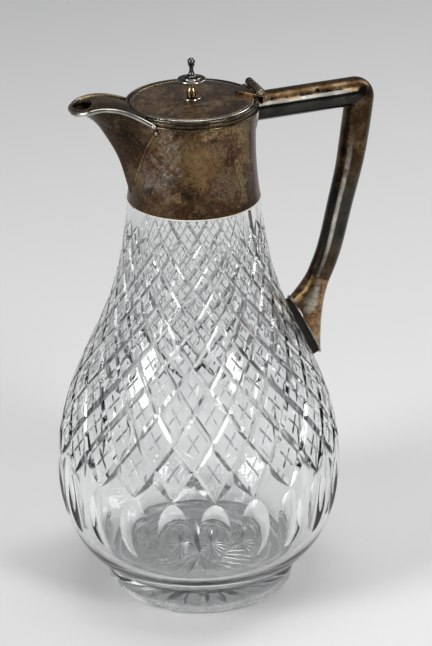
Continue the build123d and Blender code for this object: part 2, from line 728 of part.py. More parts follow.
def finial_parts(disc):
    base = LID_TOP_H
    bulb_h = base + BASE_RING_H
    ring = column(BASE_RING_R, LID_UNDER_H + LID_RISE, bulb_h) - disc
    flange_h = bulb_h + BULB_H + SHANK_H
    bulb = turned(
        ThreePointArc(at(SHANK_R, bulb_h), at(BULB_R, bulb_h + BULB_H / 2), at(SHANK_R, bulb_h + BULB_H)),
        outline(
            (SHANK_R, bulb_h + BULB_H),
            (SHANK_R + SHANK_FLARE, flange_h),
            (0, flange_h),
            (0, bulb_h),
            (SHANK_R, bulb_h),
        ),
    )
    flange_flat = FLANGE_R - FLANGE_ROLL
    flange = turned(
        ThreePointArc(
            at(flange_flat, flange_h),
            at(FLANGE_R, flange_h + FLANGE_H / 2),
            at(flange_flat, flange_h + FLANGE_H),
        ),
        outline(
            (flange_flat, flange_h + FLANGE_H),
            (STEP_R, flange_h + FLANGE_H),
            (STEP_R, flange_h + FLANGE_H + STEP_H),
            (0, flange_h + FLANGE_H + STEP_H),
            (0, flange_h),
            (flange_flat, flange_h),
        ),
    )
    cone_h = flange_h + FLANGE_H + STEP_H
    cup_h = cone_h + CONE_H
    cone = turned(
        ThreePointArc(
            at(CONE_FOOT_R, cone_h), at(CONE_WAIST_R, cone_h + CONE_WAIST_H), at(CONE_TOP_R, cup_h)
        ),
        outline(
            (CONE_TOP_R, cup_h),
            (CUP_R, cup_h + CUP_H),
            (0, cup_h + CUP_H),
            (0, cone_h),
            (CONE_FOOT_R, cone_h),
        ),
    )
    ball_h = cup_h + CUP_H + BALL_R - BALL_SINK
    ball = Pos(0, 0, ball_h) * Sphere(BALL_R) - cone
    under = LID_UNDER_H + LID_RISE
    washer = column(WASHER_R, under - WASHER_T, under) - disc
    nut_low = under - WASHER_T - NUT_H
    nut = extrude(Plane(origin=(0, 0, nut_low)) * RegularPolygon(NUT_R, 6), NUT_H)
    stud = column(STUD_R, nut_low - STUD_END, ball_h)
    bore = finial_bore()
    tight = column(STUD_R, ball_h - REACH, ball_h)
    return {
        "finial_base_ring": ring - bore,
        "finial_bulb": bulb - bore,
        "finial_flange": flange - bore,
        "finial_cone": cone - bore,
        "finial_ball": ball - tight,
        "finial_stud": stud,
        "finial_washer": washer - bore,
        "finial_nut": nut - tight,
    }


# ---------------------------------------------------------------- the jug
def build():
    glass = glass_body()
    wire = edge_wire()
    spout, hood, channel = build_spout(wire)
    tongue = handle_tongue()
    arm, shoe = handle_lower()
    disc = lid_disc()
    band = collar_fill(0, 0) - collar_fill(COLLAR_WALL, 0)
    parts = {
        "glass_body": glass,
        "neck_plaster": collar_fill(COLLAR_WALL, NECK_R) & slab(0, LIP_H - LIP_EDGE),
        "collar_band": band - (channel & slab(LIP_H, COLLAR_TOP_H)),
        "collar_rim_ring": rim_ring(),
        "collar_bead_wire": bead_wires(),
        "spout_body": spout,
        "spout_hood": hood,
        "spout_edge_wire": wire,
        "handle_tongue": tongue,
        "handle_upper_arm": upper_arm(),
        "handle_lower_arm": arm,
        "handle_shoe": shoe,
        "shoe_plate": shoe_plate(),
        "shoe_plaster": shoe_bed(glass),
        "hinge_saddle": hinge_saddle(),
        "hinge_pin": hinge_pin(),
        "lid_disc": disc,
        "lid_edge_wire": lid_wire(),
        "lid_bezel": lid_bezel(disc),
        "lid_hinge_leaf": lid_leaf(disc),
    }
    parts.update(finial_parts(disc))
    return parts


if __name__ == "__main__":
    os.makedirs("parts", exist_ok=True)
    for name, solid in build().items():
        export_step(solid, f"parts/{name}.step")
        box = solid.bounding_box()
        print(f"{name:18s} {len(solid.solids())} solids  {solid.volume:10.1f} mm3  {box.min}  {box.max}")
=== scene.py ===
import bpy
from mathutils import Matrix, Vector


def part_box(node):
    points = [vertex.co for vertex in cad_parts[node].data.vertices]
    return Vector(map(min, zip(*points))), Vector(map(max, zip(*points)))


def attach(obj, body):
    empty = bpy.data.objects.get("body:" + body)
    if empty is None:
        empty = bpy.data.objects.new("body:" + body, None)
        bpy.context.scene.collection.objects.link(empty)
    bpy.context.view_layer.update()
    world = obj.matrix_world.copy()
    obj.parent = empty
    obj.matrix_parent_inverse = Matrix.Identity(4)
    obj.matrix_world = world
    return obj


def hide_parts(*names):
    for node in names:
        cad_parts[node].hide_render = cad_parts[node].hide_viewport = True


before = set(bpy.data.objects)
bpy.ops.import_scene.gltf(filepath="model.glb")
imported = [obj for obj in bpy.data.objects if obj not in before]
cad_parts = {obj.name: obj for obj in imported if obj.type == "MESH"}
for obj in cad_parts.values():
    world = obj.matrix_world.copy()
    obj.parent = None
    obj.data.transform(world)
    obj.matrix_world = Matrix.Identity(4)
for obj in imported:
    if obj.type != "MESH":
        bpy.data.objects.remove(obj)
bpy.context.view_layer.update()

import random
from math import atan2, ceil, cos, floor, hypot, pi, radians, sin, tan

import bpy
import numpy as np
from mathutils import Matrix, Vector
from mathutils.geometry import delaunay_2d_cdt

# Claret jug: cut glass with a silver mount. Sizes in the pieces are millimetres, the scene is in
# metres. The jug's axis is Z, the spout points to -X and the handle to +X.
MM = 0.001


def node_box(node):
    """Lowest and highest corner of a node, in millimetres."""
    low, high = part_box(node)
    return Vector(low) / MM, Vector(high) / MM


# ---------------------------------------------------------------- sizes read from the frame
collar_low, collar_high = node_box("collar_band")
rim_low, rim_high = node_box("collar_rim_ring")
lid_high = node_box("lid_disc")[1]
lid_wire_low, lid_wire_high = node_box("lid_edge_wire")
bezel_low, bezel_high = node_box("lid_bezel")
glass_high = node_box("glass_body")[1]

FOOT_R, FOOT_H = 50.3, 12.8
FOOT_EDGE = 2.4             # rounding of the foot's lower edge
MISTED_H = 9.0              # up to here the foot is misted with wear
BELLY_H = 71.0
FULL_CUT_R = 75.0           # radius of the glass where the cuts have their full depth
STAND_R = 42.3              # inner edge of the ring that the jug stands on
HOLLOW = 1.6                # recess under the base
# Radius and height along the glass's outside.
GLASS_STATIONS = [
    (FOOT_R, FOOT_H), (60.9, 22.0), (75.4, BELLY_H), (64.0, 120.0), (46.4, 160.0), (36.7, 198.0),
    (34.4, collar_low.z),
]
GLASS_WALL = 6.0
FLOOR_H, FLOOR_R, FLOOR_RINGS = 15.5, 30.0, (0.0, 10.0, 20.0)      # the floor inside
FOOT_RINGS = (FOOT_H, 9.3, 5.8)
NECK_R, NECK_BORE, NECK_FLARE = 29.8, 26.0, (1.5, 12.5)
LIP_EDGE = 1.6              # bevel of the glass's upper edge

REPEATS = 22                # diamonds, and thumb prints, round the glass
CUT_TURN = -4.0             # degrees from the handle's plane to a print
COLUMNS = 8                 # upright strips of the plain glass to each repeat
AROUND_GLASS = REPEATS * COLUMNS
ROWS = 12                   # rows of half diamonds
TIPS_H = 79.7               # lowest points of the cutting
DIAMOND_SHAPE = 0.765       # half height of a diamond to its width
CUT_HALF = 0.12             # half width of a cut, as a share of a diamond's side
CUT_DEPTH = 1.55            # at the belly; shallower as the diamonds get smaller
FINE_HALF, FINE_DEPTH = 0.034, 0.72
FINE_STOP = 0.05            # from the end of a fine cut to the wide cut beside it
FINE_POINT = 0.06           # length of a fine cut's pointed end
LONGEST_STEP = 0.22         # along the lines of the cutting
CLEAR_OF_CUTS = 1.3         # no plain points nearer to the cutting than this
TINY = 1e-3
# Thumb prints: middle, half width and half height of the oval, depth, and the rings that shape it.
PRINT_H, PRINT_WIDE, PRINT_TALL, PRINT_DEPTH = 61.5, 8.2, 17.2, 2.0
PRINT_RINGS, PRINT_SIDES = (1.0, 0.86, 0.7, 0.52, 0.34, 0.17), 32
# The base's star: depth and half width of a cut, and where it starts to taper and ends.
STAR_RAYS, STAR_CUT, STAR_HALF = 24, 1.3, 2.0
STAR_FULL_R, STAR_TIP_R = 28.0, 38.0
CHIP_FROM, CHIP_TO = -188.0, -122.0     # degrees round the foot's broken edge
CHIP_RISE, CHIP_IN = 6.2, 2.7           # how high and how far in the break reaches
CHIP_STEPS, CHIP_ACROSS = 74, 9
CHIP_SCOOP, CHIP_ROUGH = 0.55, 0.22
CHIP_UNDER, CHIP_OUT = -1.5, FOOT_R + 3     # where the cutter passes the foot


# ---------------------------------------------------------------- modelling helpers
ROUND_STEPS = 160           # steps of a full turn of the larger round pieces
MERGE = 0.002               # points this near to each other become one


def nothing_selected():
    to_object_mode()
    bpy.ops.object.select_all(action="DESELECT")


def placed(x, y, z):
    return (x * MM, y * MM, z * MM)


def turned_to(r, turn, z):
    """The place at a radius and a height, at a turn from the handle's plane."""
    return (r * cos(turn), r * sin(turn), z)


def to_object_mode():
    if bpy.context.mode != "OBJECT":
        bpy.ops.object.mode_set(mode="OBJECT")


def linked(name, data):
    """A new object in the scene."""
    piece = bpy.data.objects.new(name, data)
    bpy.context.scene.collection.objects.link(piece)
    return piece


def work_on(*pieces):
    """Selects pieces alone and makes the first one active."""
    nothing_selected()
    for piece in pieces:
        piece.select_set(True)
    bpy.context.view_layer.objects.active = pieces[0]


def joined(*pieces):
    """Makes several pieces one."""
    work_on(*pieces)
    bpy.ops.object.join()


def cut_away(piece, cutter):
    """Cuts a piece with another and throws the cutter away."""
    work_on(piece)
    cut = piece.modifiers.new("cut", "BOOLEAN")
    cut.operation = "DIFFERENCE"
    cut.solver = "EXACT"
    cut.object = cutter
    bpy.ops.object.modifier_apply(modifier=cut.name)
    bpy.data.objects.remove(cutter)


def round_bar(radius, low, high, sides):
    """A plain round bar on the jug's axis, used for cutting."""
    nothing_selected()
    bpy.ops.mesh.primitive_cylinder_add(
        vertices=sides, radius=radius * MM, depth=(high - low) * MM, location=placed(0, 0, (low + high) / 2)
    )
    bpy.ops.object.transform_apply()
    return bpy.context.object


def wire_along(route, radius, thin_start=1.0):
    """A round wire with closed ends through the places of a route, thinner at its start if told."""
    nothing_selected()
    bpy.ops.curve.primitive_bezier_curve_add(location=(0, 0, 0))
    curve = bpy.context.object.data
    curve.splines.clear()
    line = curve.splines.new("BEZIER")
    line.bezier_points.add(len(route) - 1)
    for n, (point, place) in enumerate(zip(line.bezier_points, route)):
        point.co = placed(*place)
        point.radius = thin_start + (1 - thin_start) * n / (len(route) - 1)
        point.handle_left_type = point.handle_right_type = "AUTO"
    line.resolution_u = 10
    curve.dimensions = "3D"
    curve.bevel_depth = radius * MM
    curve.bevel_resolution = 5
    curve.use_fill_caps = True
    bpy.ops.object.convert(target="MESH")
    close_up()
    return bpy.context.object


def finish(name, finish_of, body, *nodes, soften=30):
    """Names the active piece, smooths it, gives it its finish and seats it in the frame."""
    to_object_mode()
    piece = bpy.context.object
    bpy.ops.object.transform_apply()
    bpy.ops.object.shade_smooth_by_angle(angle=radians(soften))
    piece.name = piece.data.name = name
    if finish_of:
        piece.data.materials.clear()
        piece.data.materials.append(finish_of)
    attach(piece, body)
    if nodes:
        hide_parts(*nodes)


def close_up():
    """Merges what meets on the active piece and turns every face outwards, in edit mode."""
    if bpy.context.mode == "OBJECT":
        bpy.ops.object.mode_set(mode="EDIT")
    bpy.ops.mesh.select_all(action="SELECT")
    bpy.ops.mesh.remove_doubles(threshold=MERGE * MM)
    bpy.ops.mesh.normals_make_consistent(inside=False)


def arc_through(start, middle, end, steps):
    """Points of the arc from start to end through middle, both ends included."""
    (x1, y1), (x2, y2), (x3, y3) = start, middle, end
    d = 2 * (x1 * (y2 - y3) + x2 * (y3 - y1) + x3 * (y1 - y2))
    s1, s2, s3 = x1 * x1 + y1 * y1, x2 * x2 + y2 * y2, x3 * x3 + y3 * y3
    cx = (s1 * (y2 - y3) + s2 * (y3 - y1) + s3 * (y1 - y2)) / d
    cy = (s1 * (x3 - x2) + s2 * (x1 - x3) + s3 * (x2 - x1)) / d
    radius = hypot(x1 - cx, y1 - cy)
    a1, a2, a3 = (atan2(y - cy, x - cx) for x, y in (start, middle, end))
    turn = (a3 - a1) % (2 * pi)
    if (a2 - a1) % (2 * pi) > turn:
        turn -= 2 * pi
    return [
        (cx + radius * cos(a1 + turn * n / steps), cy + radius * sin(a1 + turn * n / steps))
        for n in range(steps + 1)
    ]


def spun(outline, steps=ROUND_STEPS):
    """Spins an outline of radii and heights about the jug's axis."""
    nothing_selected()
    r, z = outline[0]
    bpy.ops.mesh.primitive_plane_add(size=MM, location=placed(r, 0, z))
    bpy.ops.object.mode_set(mode="EDIT")
    bpy.ops.mesh.merge(type="CENTER")
    for (r1, z1), (r2, z2) in zip(outline, outline[1:]):
        step = placed(r2 - r1, 0, z2 - z1)
        bpy.ops.mesh.extrude_vertices_move(TRANSFORM_OT_translate={"value": step})
    bpy.ops.mesh.select_all(action="SELECT")
    bpy.ops.mesh.spin(steps=steps, angle=2 * pi, center=(0, 0, 0), axis=(0, 0, 1))
    close_up()
    return bpy.context.object


def mesh_piece(points, faces, finishes=(), slots=()):
    """A piece from points in millimetres, made the active object."""
    nothing_selected()
    mesh = bpy.data.meshes.new("piece")
    mesh.from_pydata([placed(*point) for point in points], [], faces)
    for finish_of in finishes:
        mesh.materials.append(finish_of)
    if slots:
        mesh.polygons.foreach_set("material_index", slots)
    piece = linked("piece", mesh)
    work_on(piece)
    close_up()
    return piece


def skin(rings):
    """Faces between rings of equally many points, with the end rings filled."""
    count = len(rings[0])
    points = [p for ring in rings for p in ring]
    faces = []
    for start in range(0, len(points) - count, count):
        for k in range(count):
            a, b = start + k, start + (k + 1) % count
            faces.append((a, b, b + count, a + count))
    faces.append(tuple(range(count))[::-1])
    faces.append(tuple(range(len(points) - count, len(points))))
    return points, faces


def smooth_curve(stations, steps=400):
    """A smooth line through the stations, as arrays of its two coordinates."""
    pts = np.array(stations, float)
    gaps = np.hypot(*np.diff(pts, axis=0).T)
    t = np.concatenate([[0.0], np.cumsum(gaps)])
    n = len(pts)
    matrix, right = np.eye(n), np.zeros((n, 2))
    for i in range(1, n - 1):
        matrix[i, i - 1 : i + 2] = gaps[i - 1], 2 * (gaps[i - 1] + gaps[i]), gaps[i]
        right[i] = 6 * ((pts[i + 1] - pts[i]) / gaps[i] - (pts[i] - pts[i - 1]) / gaps[i - 1])
    bend = np.linalg.solve(matrix, right)
    out = []
    for s in np.linspace(0, t[-1], steps):
        i = min(max(np.searchsorted(t, s) - 1, 0), n - 2)
        h, a, b = gaps[i], t[i + 1] - s, s - t[i]
        out.append(
            (bend[i] * a**3 + bend[i + 1] * b**3) / (6 * h)
            + (pts[i] / h - bend[i] * h / 6) * a
            + (pts[i + 1] / h - bend[i + 1] * h / 6) * b
        )
    return np.array(out)


def any_curve(stations, steps):
    """Smooth values between rows of any length, evenly spread along them."""
    rows = np.array(stations, float)
    out = []
    for column in range(1, rows.shape[1]):
        line = smooth_curve(rows[:, [0, column]], steps * 8)
        out.append((line[:, 0], line[:, 1]))
    spread = np.linspace(rows[0, 0], rows[-1, 0], steps)
    return [(float(x), *(float(np.interp(x, *pair)) for pair in out)) for x in spread]


# ---------------------------------------------------------------- glass: its line and its cutting
body_line = smooth_curve(GLASS_STATIONS)
body_slope = np.gradient(body_line, axis=0)
body_slope /= np.hypot(*body_slope.T)[:, None]


def body_r(z):
    return float(np.interp(z, body_line[:, 1], body_line[:, 0]))


def body_out(z):
    """The direction straight out of the glass at a height, as radius and height."""
    return (
        float(np.interp(z, body_line[:, 1], body_slope[:, 1])),
        -float(np.interp(z, body_line[:, 1], body_slope[:, 0])),
    )


def repeat_width(z):
    return 2 * pi * body_r(z) / REPEATS


def row_heights():
    """Heights of the rows: every diamond keeps its shape as the glass narrows."""
    heights = [TIPS_H]
    for _ in range(ROWS):
        z = heights[-1]
        middle = z + DIAMOND_SHAPE * repeat_width(z) / 2
        heights.append(z + DIAMOND_SHAPE * repeat_width(middle) * body_out(middle)[0])
    return heights


ROW_H = row_heights()
SHEET_W = repeat_width(BELLY_H)     # width of one repeat when laid out flat


def row_at(z):
    return float(np.interp(z, ROW_H, range(ROWS + 1)))


def flat(p, q):
    """A place in the cutting, in repeats and rows, laid out flat."""
    return (p * SHEET_W, float(np.interp(q, range(ROWS + 1), ROW_H)))


def crossed(line):
    """Repeats and rows of the points of a line that is given in the two families of slanting cuts."""
    return [((u + v) / 2, u - v) for u, v in line]


# Lower and upper edge of the pointed ends of the cuts below the lowest crossing, and their depth there.
LEG_LOW = [(0.0, 0.0), (0.2, 0.07), (0.4, 0.13), (0.6, 0.17), (0.8, 0.2)]
LEG_HIGH = [(0.06, 0.06), (0.2, 0.07), (0.4, 0.11), (0.6, CUT_HALF)]
LEG_DEEP = [(0.0, 0.0), (0.2, 0.6), (0.4, 0.9), (0.6, 1.0)]


def share_of(table, x):
    return float(np.interp(x, [a for a, _ in table], [b for _, b in table]))


def cut_share(p, q):
    """Depth of the wide cuts at a place, as a share of their full depth."""
    q = min(q, ROWS - q)
    if q < 0:
        return 0.0
    if q >= 1:
        u, v = p + q / 2, p - q / 2
        near = min(abs(u - round(u)), abs(v - round(v)))
        return max(0.0, 1 - near / CUT_HALF)
    p = abs(p - floor(p) - 0.5)
    u, v = 0.5 - p + q / 2, 0.5 - p - q / 2
    half = share_of(LEG_LOW if v > 0 else LEG_HIGH, u)
    if half <= 0:
        return 0.0
    return share_of(LEG_DEEP, u) * max(0.0, 1 - abs(v) / half)


def fine_share(p, q):
    """Depth of the fine crossed cuts inside a diamond."""
    if q < 0 or q > ROWS:
        return 0.0
    u, v = p + q / 2, p - q / 2
    u, v = u - floor(u), v - floor(v)
    deepest = 0.0
    for along, off in ((u, abs(v - 0.5)), (v, abs(u - 0.5))):
        end = min(along, 1 - along) - CUT_HALF - FINE_STOP
        if end > 0:
            half = FINE_HALF * min(1, end / FINE_POINT)
            deepest = max(deepest, min(1, end / FINE_POINT) * max(0.0, 1 - off / half))
    return deepest


def print_width(z):
    """Half width of a thumb print on the flat sheet, at a height."""
    return PRINT_WIDE * SHEET_W / repeat_width(z)


def print_share(x, z):
    """How near a place lies to the middle of its thumb print: 0 in the middle, 1 on the edge."""
    x = x - SHEET_W * round(x / SHEET_W)
    return hypot(x / print_width(z), (z - PRINT_H) / PRINT_TALL)


def sunk(x, z):
    """Depth of all cutting below the glass's smooth line."""
    share = print_share(x, z)
    if share < 1:
        return PRINT_DEPTH * (1 - share**2)
    if not TIPS_H <= z <= ROW_H[-1]:
        return 0.0
    p, q = x / SHEET_W, row_at(z)
    return body_r(z) / FULL_CUT_R * max(CUT_DEPTH * cut_share(p, q), FINE_DEPTH * fine_share(p, q))


def diamond_lines(u0, v0):
    """The lines of one diamond: wide cuts round it, its rim, and the crossed fine cuts."""
    a, b = CUT_HALF, 1 - CUT_HALF
    c, d = a + FINE_STOP, b - FINE_STOP
    e, f = c + FINE_POINT, d - FINE_POINT
    low_row = u0 - v0 - 1 < 1
    rim = [(b, a), (a, a), (a, b), (b, b), (b, a)]
    lines = [[(0, 0), (1, 0), (1, 1), (0, 1), (0, 0)]]
    if low_row:
        right = [(x, 1 - y) for x, y in LEG_HIGH]
        left = [(y, 1 - x) for x, y in LEG_HIGH]
        rim = [*left, (a, a), (b, a), (b, b), *right[::-1]]
        corners = [((0, 0), (a, a)), ((1, 1), (b, b)), ((1, 0), (b, a)), ((0, 1), left[0])]
    else:
        corners = [((x, y), (a if x == 0 else b, a if y == 0 else b)) for x in (0, 1) for y in (0, 1)]
    lines.append(rim)
    lines += [list(corner) for corner in corners]
    m, h = 0.5, FINE_HALF
    for turn in (False, True):
        cut = [
            [(c, m), (e, m), (m, m), (f, m), (d, m)],
            [(c, m), (e, m - h), (f, m - h), (d, m)],
            [(c, m), (e, m + h), (f, m + h), (d, m)],
            [(e, m - h), (e, m), (e, m + h)],
            [(f, m - h), (f, m), (f, m + h)],
        ]
        lines += [[(y, x) for x, y in line] if turn else line for line in cut]
    lines += [[(m - h, m - h), (m, m), (m + h, m + h)], [(m - h, m + h), (m, m), (m + h, m - h)]]
    return [[(u0 + x, v0 + y) for x, y in line] for line in lines]


def leg_lines():
    """The pointed ends of the cuts below the lowest crossing of one repeat."""
    left = [[(1, 0), (0.8, 0), (0.6, 0), (0.4, 0), (0.2, 0), (0, 0)], LEG_LOW]
    right = [[(1 - y, 1 - x) for x, y in line] for line in left]
    return left + right + [[(1, 0), (0.8, 0.2)]]


def divided(line, longest):
    """The line with more points on it, none further apart than longest."""
    out = [line[0]]
    for (x1, y1), (x2, y2) in zip(line, line[1:]):
        parts = max(1, ceil(hypot(x2 - x1, y2 - y1) / longest - 1e-6))
        out += [(x1 + (x2 - x1) * n / parts, y1 + (y2 - y1) * n / parts) for n in range(1, parts + 1)]
    return out


def cutting_lines():
    """Every line of one repeat of the cutting, with its neighbours' halves, laid out flat."""
    spots, half = [], leg_lines()
    for row in range(1, ROWS // 2 + 1):
        for middle in (0, 1) if row % 2 else (0.5,):
            u0 = middle + row / 2 - 0.5
            v0 = middle - row / 2 - 0.5
            half += diamond_lines(u0, v0)
            spots += [(u0 + x, v0 + y) for x in (0.3, 0.7) for y in (0.3, 0.7)]
    lines = []
    for line in half:
        places = crossed(divided(line, LONGEST_STEP))
        lines.append([flat(p, q) for p, q in places])
        lines.append([flat(p, ROWS - q) for p, q in places])
    places = crossed(spots)
    return lines, [flat(p, q) for p, q in places] + [flat(p, ROWS - q) for p, q in places]


def print_lines():
    """The rings that shape the thumb prints at both sides of a repeat."""
    lines, spots = [], []
    for side in (0, SHEET_W):
        spots.append((side, PRINT_H))
        for share in PRINT_RINGS:
            ring = []
            for n in range(PRINT_SIDES + 1):
                turn = 2 * pi * n / PRINT_SIDES
                z = PRINT_H + PRINT_TALL * share * cos(turn)
                ring.append((side + print_width(z) * share * sin(turn), z))
            lines.append(ring)
    return lines, spots


def plain_rows(low, high, turn=4.5, longest=3.2, shortest=0.25):
    """Heights close enough for the glass's line to look smooth."""
    rows, z = [low], low
    while z < high:
        r, h = body_out(z)
        step = shortest
        while step < longest:
            r2, h2 = body_out(z + step)
            if r * r2 + h * h2 < cos(radians(turn)):
                break
            step += shortest
        z += step
        rows.append(z)
    return [low + (z - low) * (high - low) / (rows[-1] - low) for z in rows]


def middle_of(points, face):
    return sum((points[n] for n in face), Vector((0, 0))) / len(face)


def cut_sheet(lines, spots, inside):
    """Triangles of a flat sheet that follow the lines, kept where inside() says."""
    points, edges = [], []
    for line in lines:
        start = len(points)
        points += [Vector(p) for p in line]
        edges += [(n, n + 1) for n in range(start, len(points) - 1)]
    points += [Vector(p) for p in spots]
    found, _, faces, *_ = delaunay_2d_cdt(points, edges, [], 0, TINY / 10)
    return found, [tuple(face) for face in faces if inside(middle_of(found, face))]


def one_repeat():
    """Points and faces of one repeat of the outside, laid out flat."""
    lines, spots = cutting_lines()
    print_rings, print_spots = print_lines()
    top = collar_low.z
    rows = plain_rows(FOOT_H, top)
    across = [SHEET_W * n / COLUMNS for n in range(COLUMNS + 1)]
    lines += print_rings + [[(x, z) for z in rows] for x in (0.0, SHEET_W)]
    lines += [[(x, z) for x in across] for z in (FOOT_H, top)]
    spots += print_spots
    near = (-CLEAR_OF_CUTS, 0, CLEAR_OF_CUTS)
    for z in rows[1:-1]:
        if TIPS_H < z < ROW_H[-1] and 1 < row_at(z) < ROWS - 1:
            continue
        for x in across[1:-1]:
            if not any(sunk(x + i, z + j) > 0 for i in near for j in near):
                spots.append((x, z))
    return cut_sheet(lines, spots, lambda p: TINY < p.x < SHEET_W - TINY and FOOT_H < p.y < top)


def on_glass(x, z, turn):
    """The place on the cut glass of a point of the flat sheet."""
    depth = sunk(x, z)
    out_r, out_z = body_out(z)
    angle = radians(CUT_TURN + 360 / REPEATS * (x / SHEET_W + turn))
    r = body_r(z) - depth * out_r
    return turned_to(r, angle, z - depth * out_z)


def ring_of(r, z):
    """Places round the glass, as many as the cut sheet has strips."""
    first = radians(CUT_TURN)
    return [turned_to(r, first + 2 * pi * n / AROUND_GLASS, z) for n in range(AROUND_GLASS)]


def star_sheet():
    """The underside of the base with its star of cuts."""
    half_turn = pi / STAR_RAYS
    meet = STAR_HALF / tan(half_turn)       # where the edges of neighbouring rays meet
    edge_r = STAND_R - HOLLOW
    halves = (-STAR_HALF, STAR_HALF, 0)
    ray_lines = [[(0, 0), (meet, half), (STAR_FULL_R, half), (STAR_TIP_R, 0)] for half in halves]
    ray_lines.append([(STAR_FULL_R, half) for half in sorted(halves)])
    lines = []
    for ray in range(STAR_RAYS):
        along = Matrix.Rotation(2 * half_turn * ray, 2)
        lines += [[tuple(along @ Vector(p)) for p in line] for line in ray_lines]
    ring = [place[:2] for place in ring_of(edge_r, 0)]
    lines.append(ring + ring[:1])
    points, faces = cut_sheet(lines, [(0.0, 0.0)], lambda p: p.length < edge_r)

    def depth(p):
        ray = round(atan2(p.y, p.x) / (2 * half_turn))
        local = Matrix.Rotation(-2 * half_turn * ray, 2) @ p
        share = min(1, (STAR_TIP_R - local.x) / (STAR_TIP_R - STAR_FULL_R))
        return STAR_CUT * share * max(0.0, 1 - abs(local.y) / (STAR_HALF * share)) if share > 0 else 0.0

    return [(p.x, p.y, HOLLOW + depth(p)) for p in points], faces


def inside_line():
    """The inside of the glass, from the middle of the floor up to the bore."""
    stations = [(FLOOR_R, FLOOR_H)]
    for r, z in GLASS_STATIONS[1:5]:
        out_r, out_z = body_out(z)
        stations.append((r - GLASS_WALL * out_r, z - GLASS_WALL * out_z))
    flare_r, flare_h = NECK_FLARE
    stations += [(NECK_BORE + flare_r, collar_low.z - flare_h), (NECK_BORE, collar_low.z)]
    return [(r, FLOOR_H) for r in FLOOR_RINGS] + [tuple(p) for p in smooth_curve(stations, 64)]


def foot_line():
    """The foot's outside, from the body down to the recess."""
    side = [(FOOT_R, z) for z in FOOT_RINGS]
    halfway = FOOT_EDGE * (1 - sin(pi / 4))
    edge = arc_through((FOOT_R, FOOT_EDGE), (FOOT_R - halfway, halfway), (FOOT_R - FOOT_EDGE, 0), 8)
    return side + edge + [(STAND_R, 0.0), (STAND_R - HOLLOW, HOLLOW)]


def lathed(line):
    """Points and faces of a line turned about the axis; a point on the axis stays single."""
    points, faces, rings = [], [], []
    for r, z in line:
        ring = [(0, 0, z)] if r < 1e-6 else ring_of(r, z)
        rings.append([len(points) + n % len(ring) for n in range(AROUND_GLASS)])
        points += ring
    for one, two in zip(rings, rings[1:]):
        for n in range(AROUND_GLASS):
            m = (n + 1) % AROUND_GLASS
            faces.append(tuple(dict.fromkeys([one[n], one[m], two[m], two[n]])))
    return points, faces


POLISHED, CUT_FACE, GROUND, STAR, MISTED, WORN, BROKEN = range(7)      # the glass's finishes


def cut_glass():
    """The whole glass body as one closed piece."""
    points, faces, slots = [], [], []

    def add(more_points, more_faces, slot_of):
        start = len(points)
        points.extend(more_points)
        for face in more_faces:
            faces.append(tuple(n + start for n in face))
            slots.append(slot_of([more_points[n] for n in face]))

    def foot_slot(face):
        top = max(z for _, _, z in face)
        return WORN if top < FOOT_EDGE / 2 else MISTED if top < MISTED_H else POLISHED

    def star_slot(face):
        return STAR if max(z for _, _, z in face) > HOLLOW + 0.01 else POLISHED

    def polished(_):
        return POLISHED

    sheet, sheet_faces = one_repeat()
    sheet_slots = []
    for face in sheet_faces:
        middle = middle_of(sheet, face)
        p, q = middle.x / SHEET_W, row_at(middle.y)
        cut = CUT_FACE if cut_share(p, q) > 0 else GROUND if fine_share(p, q) > 0 else POLISHED
        sheet_slots.append(cut if 0 < q < ROWS else POLISHED)
    for turn in range(REPEATS):
        add([on_glass(p.x, p.y, turn) for p in sheet], sheet_faces, polished)
        slots[-len(sheet_slots) :] = sheet_slots
    top_h = glass_high.z
    top = [(GLASS_STATIONS[-1][0], collar_low.z), (NECK_R, collar_low.z), (NECK_R, top_h - LIP_EDGE)]
    top += [(NECK_R - LIP_EDGE, top_h), (NECK_BORE, top_h)]
    add(*lathed(top + inside_line()[::-1]), polished)
    add(*lathed(foot_line()), foot_slot)
    add(*star_sheet(), star_slot)
    return mesh_piece(points, faces, GLASS_FINISHES, slots)


def chip_cutter():
    """The lump broken off the foot's edge, with shell-shaped steps along it."""
    draw = random.Random(11)
    rise = depth = 1.0
    rings = []
    for n in range(CHIP_STEPS + 1):
        share = n / CHIP_STEPS
        ends = min(1, share / 0.1, (1 - share) / 0.14)
        if n % 8 == 3:
            rise, depth = draw.uniform(0.6, 1.15), draw.uniform(0.55, 1.35)
        top = 0.3 + CHIP_RISE * ends * rise * (0.55 + 0.45 * sin(pi * min(1, share * 1.5)))
        inner = FOOT_R - 0.3 - CHIP_IN * ends * depth
        section = [(inner, CHIP_UNDER)]
        for k in range(CHIP_ACROSS + 1):
            way = k / CHIP_ACROSS
            scoop = CHIP_SCOOP * abs(sin(2.5 * pi * way)) * ends
            rough = draw.uniform(-CHIP_ROUGH, CHIP_ROUGH) * min(1, ends * 3)
            out = inner + (FOOT_R + 0.25 - inner) * way**1.6 - scoop - rough
            section.append((out, -0.4 + (top + 0.4) * way + rough))
        section += [(CHIP_OUT, top + 0.3), (CHIP_OUT, CHIP_UNDER)]
        angle = radians(CHIP_FROM + (CHIP_TO - CHIP_FROM) * share)
        rings.append([turned_to(r, angle, z) for r, z in section])
    cutter = mesh_piece(*skin(rings), GLASS_FINISHES)
    to_object_mode()
    cutter.data.polygons.foreach_set("material_index", [BROKEN] * len(cutter.data.polygons))
    return cutter


# ---------------------------------------------------------------- finishes
MIX_FIRST, MIX_SECOND, MIXED = 6, 7, 2      # the colour sockets of a Mix node
STRAY, STRAY_CLOUD = 18, 11                 # how far patches stray, and how wide the noise that moves them
SMALL_PATCH = 6                             # patches with a smaller reach keep their place
RAGGED = 0.9                                # how far the noise tears a patch's outline
LEAD_GLASS_IOR = 1.54


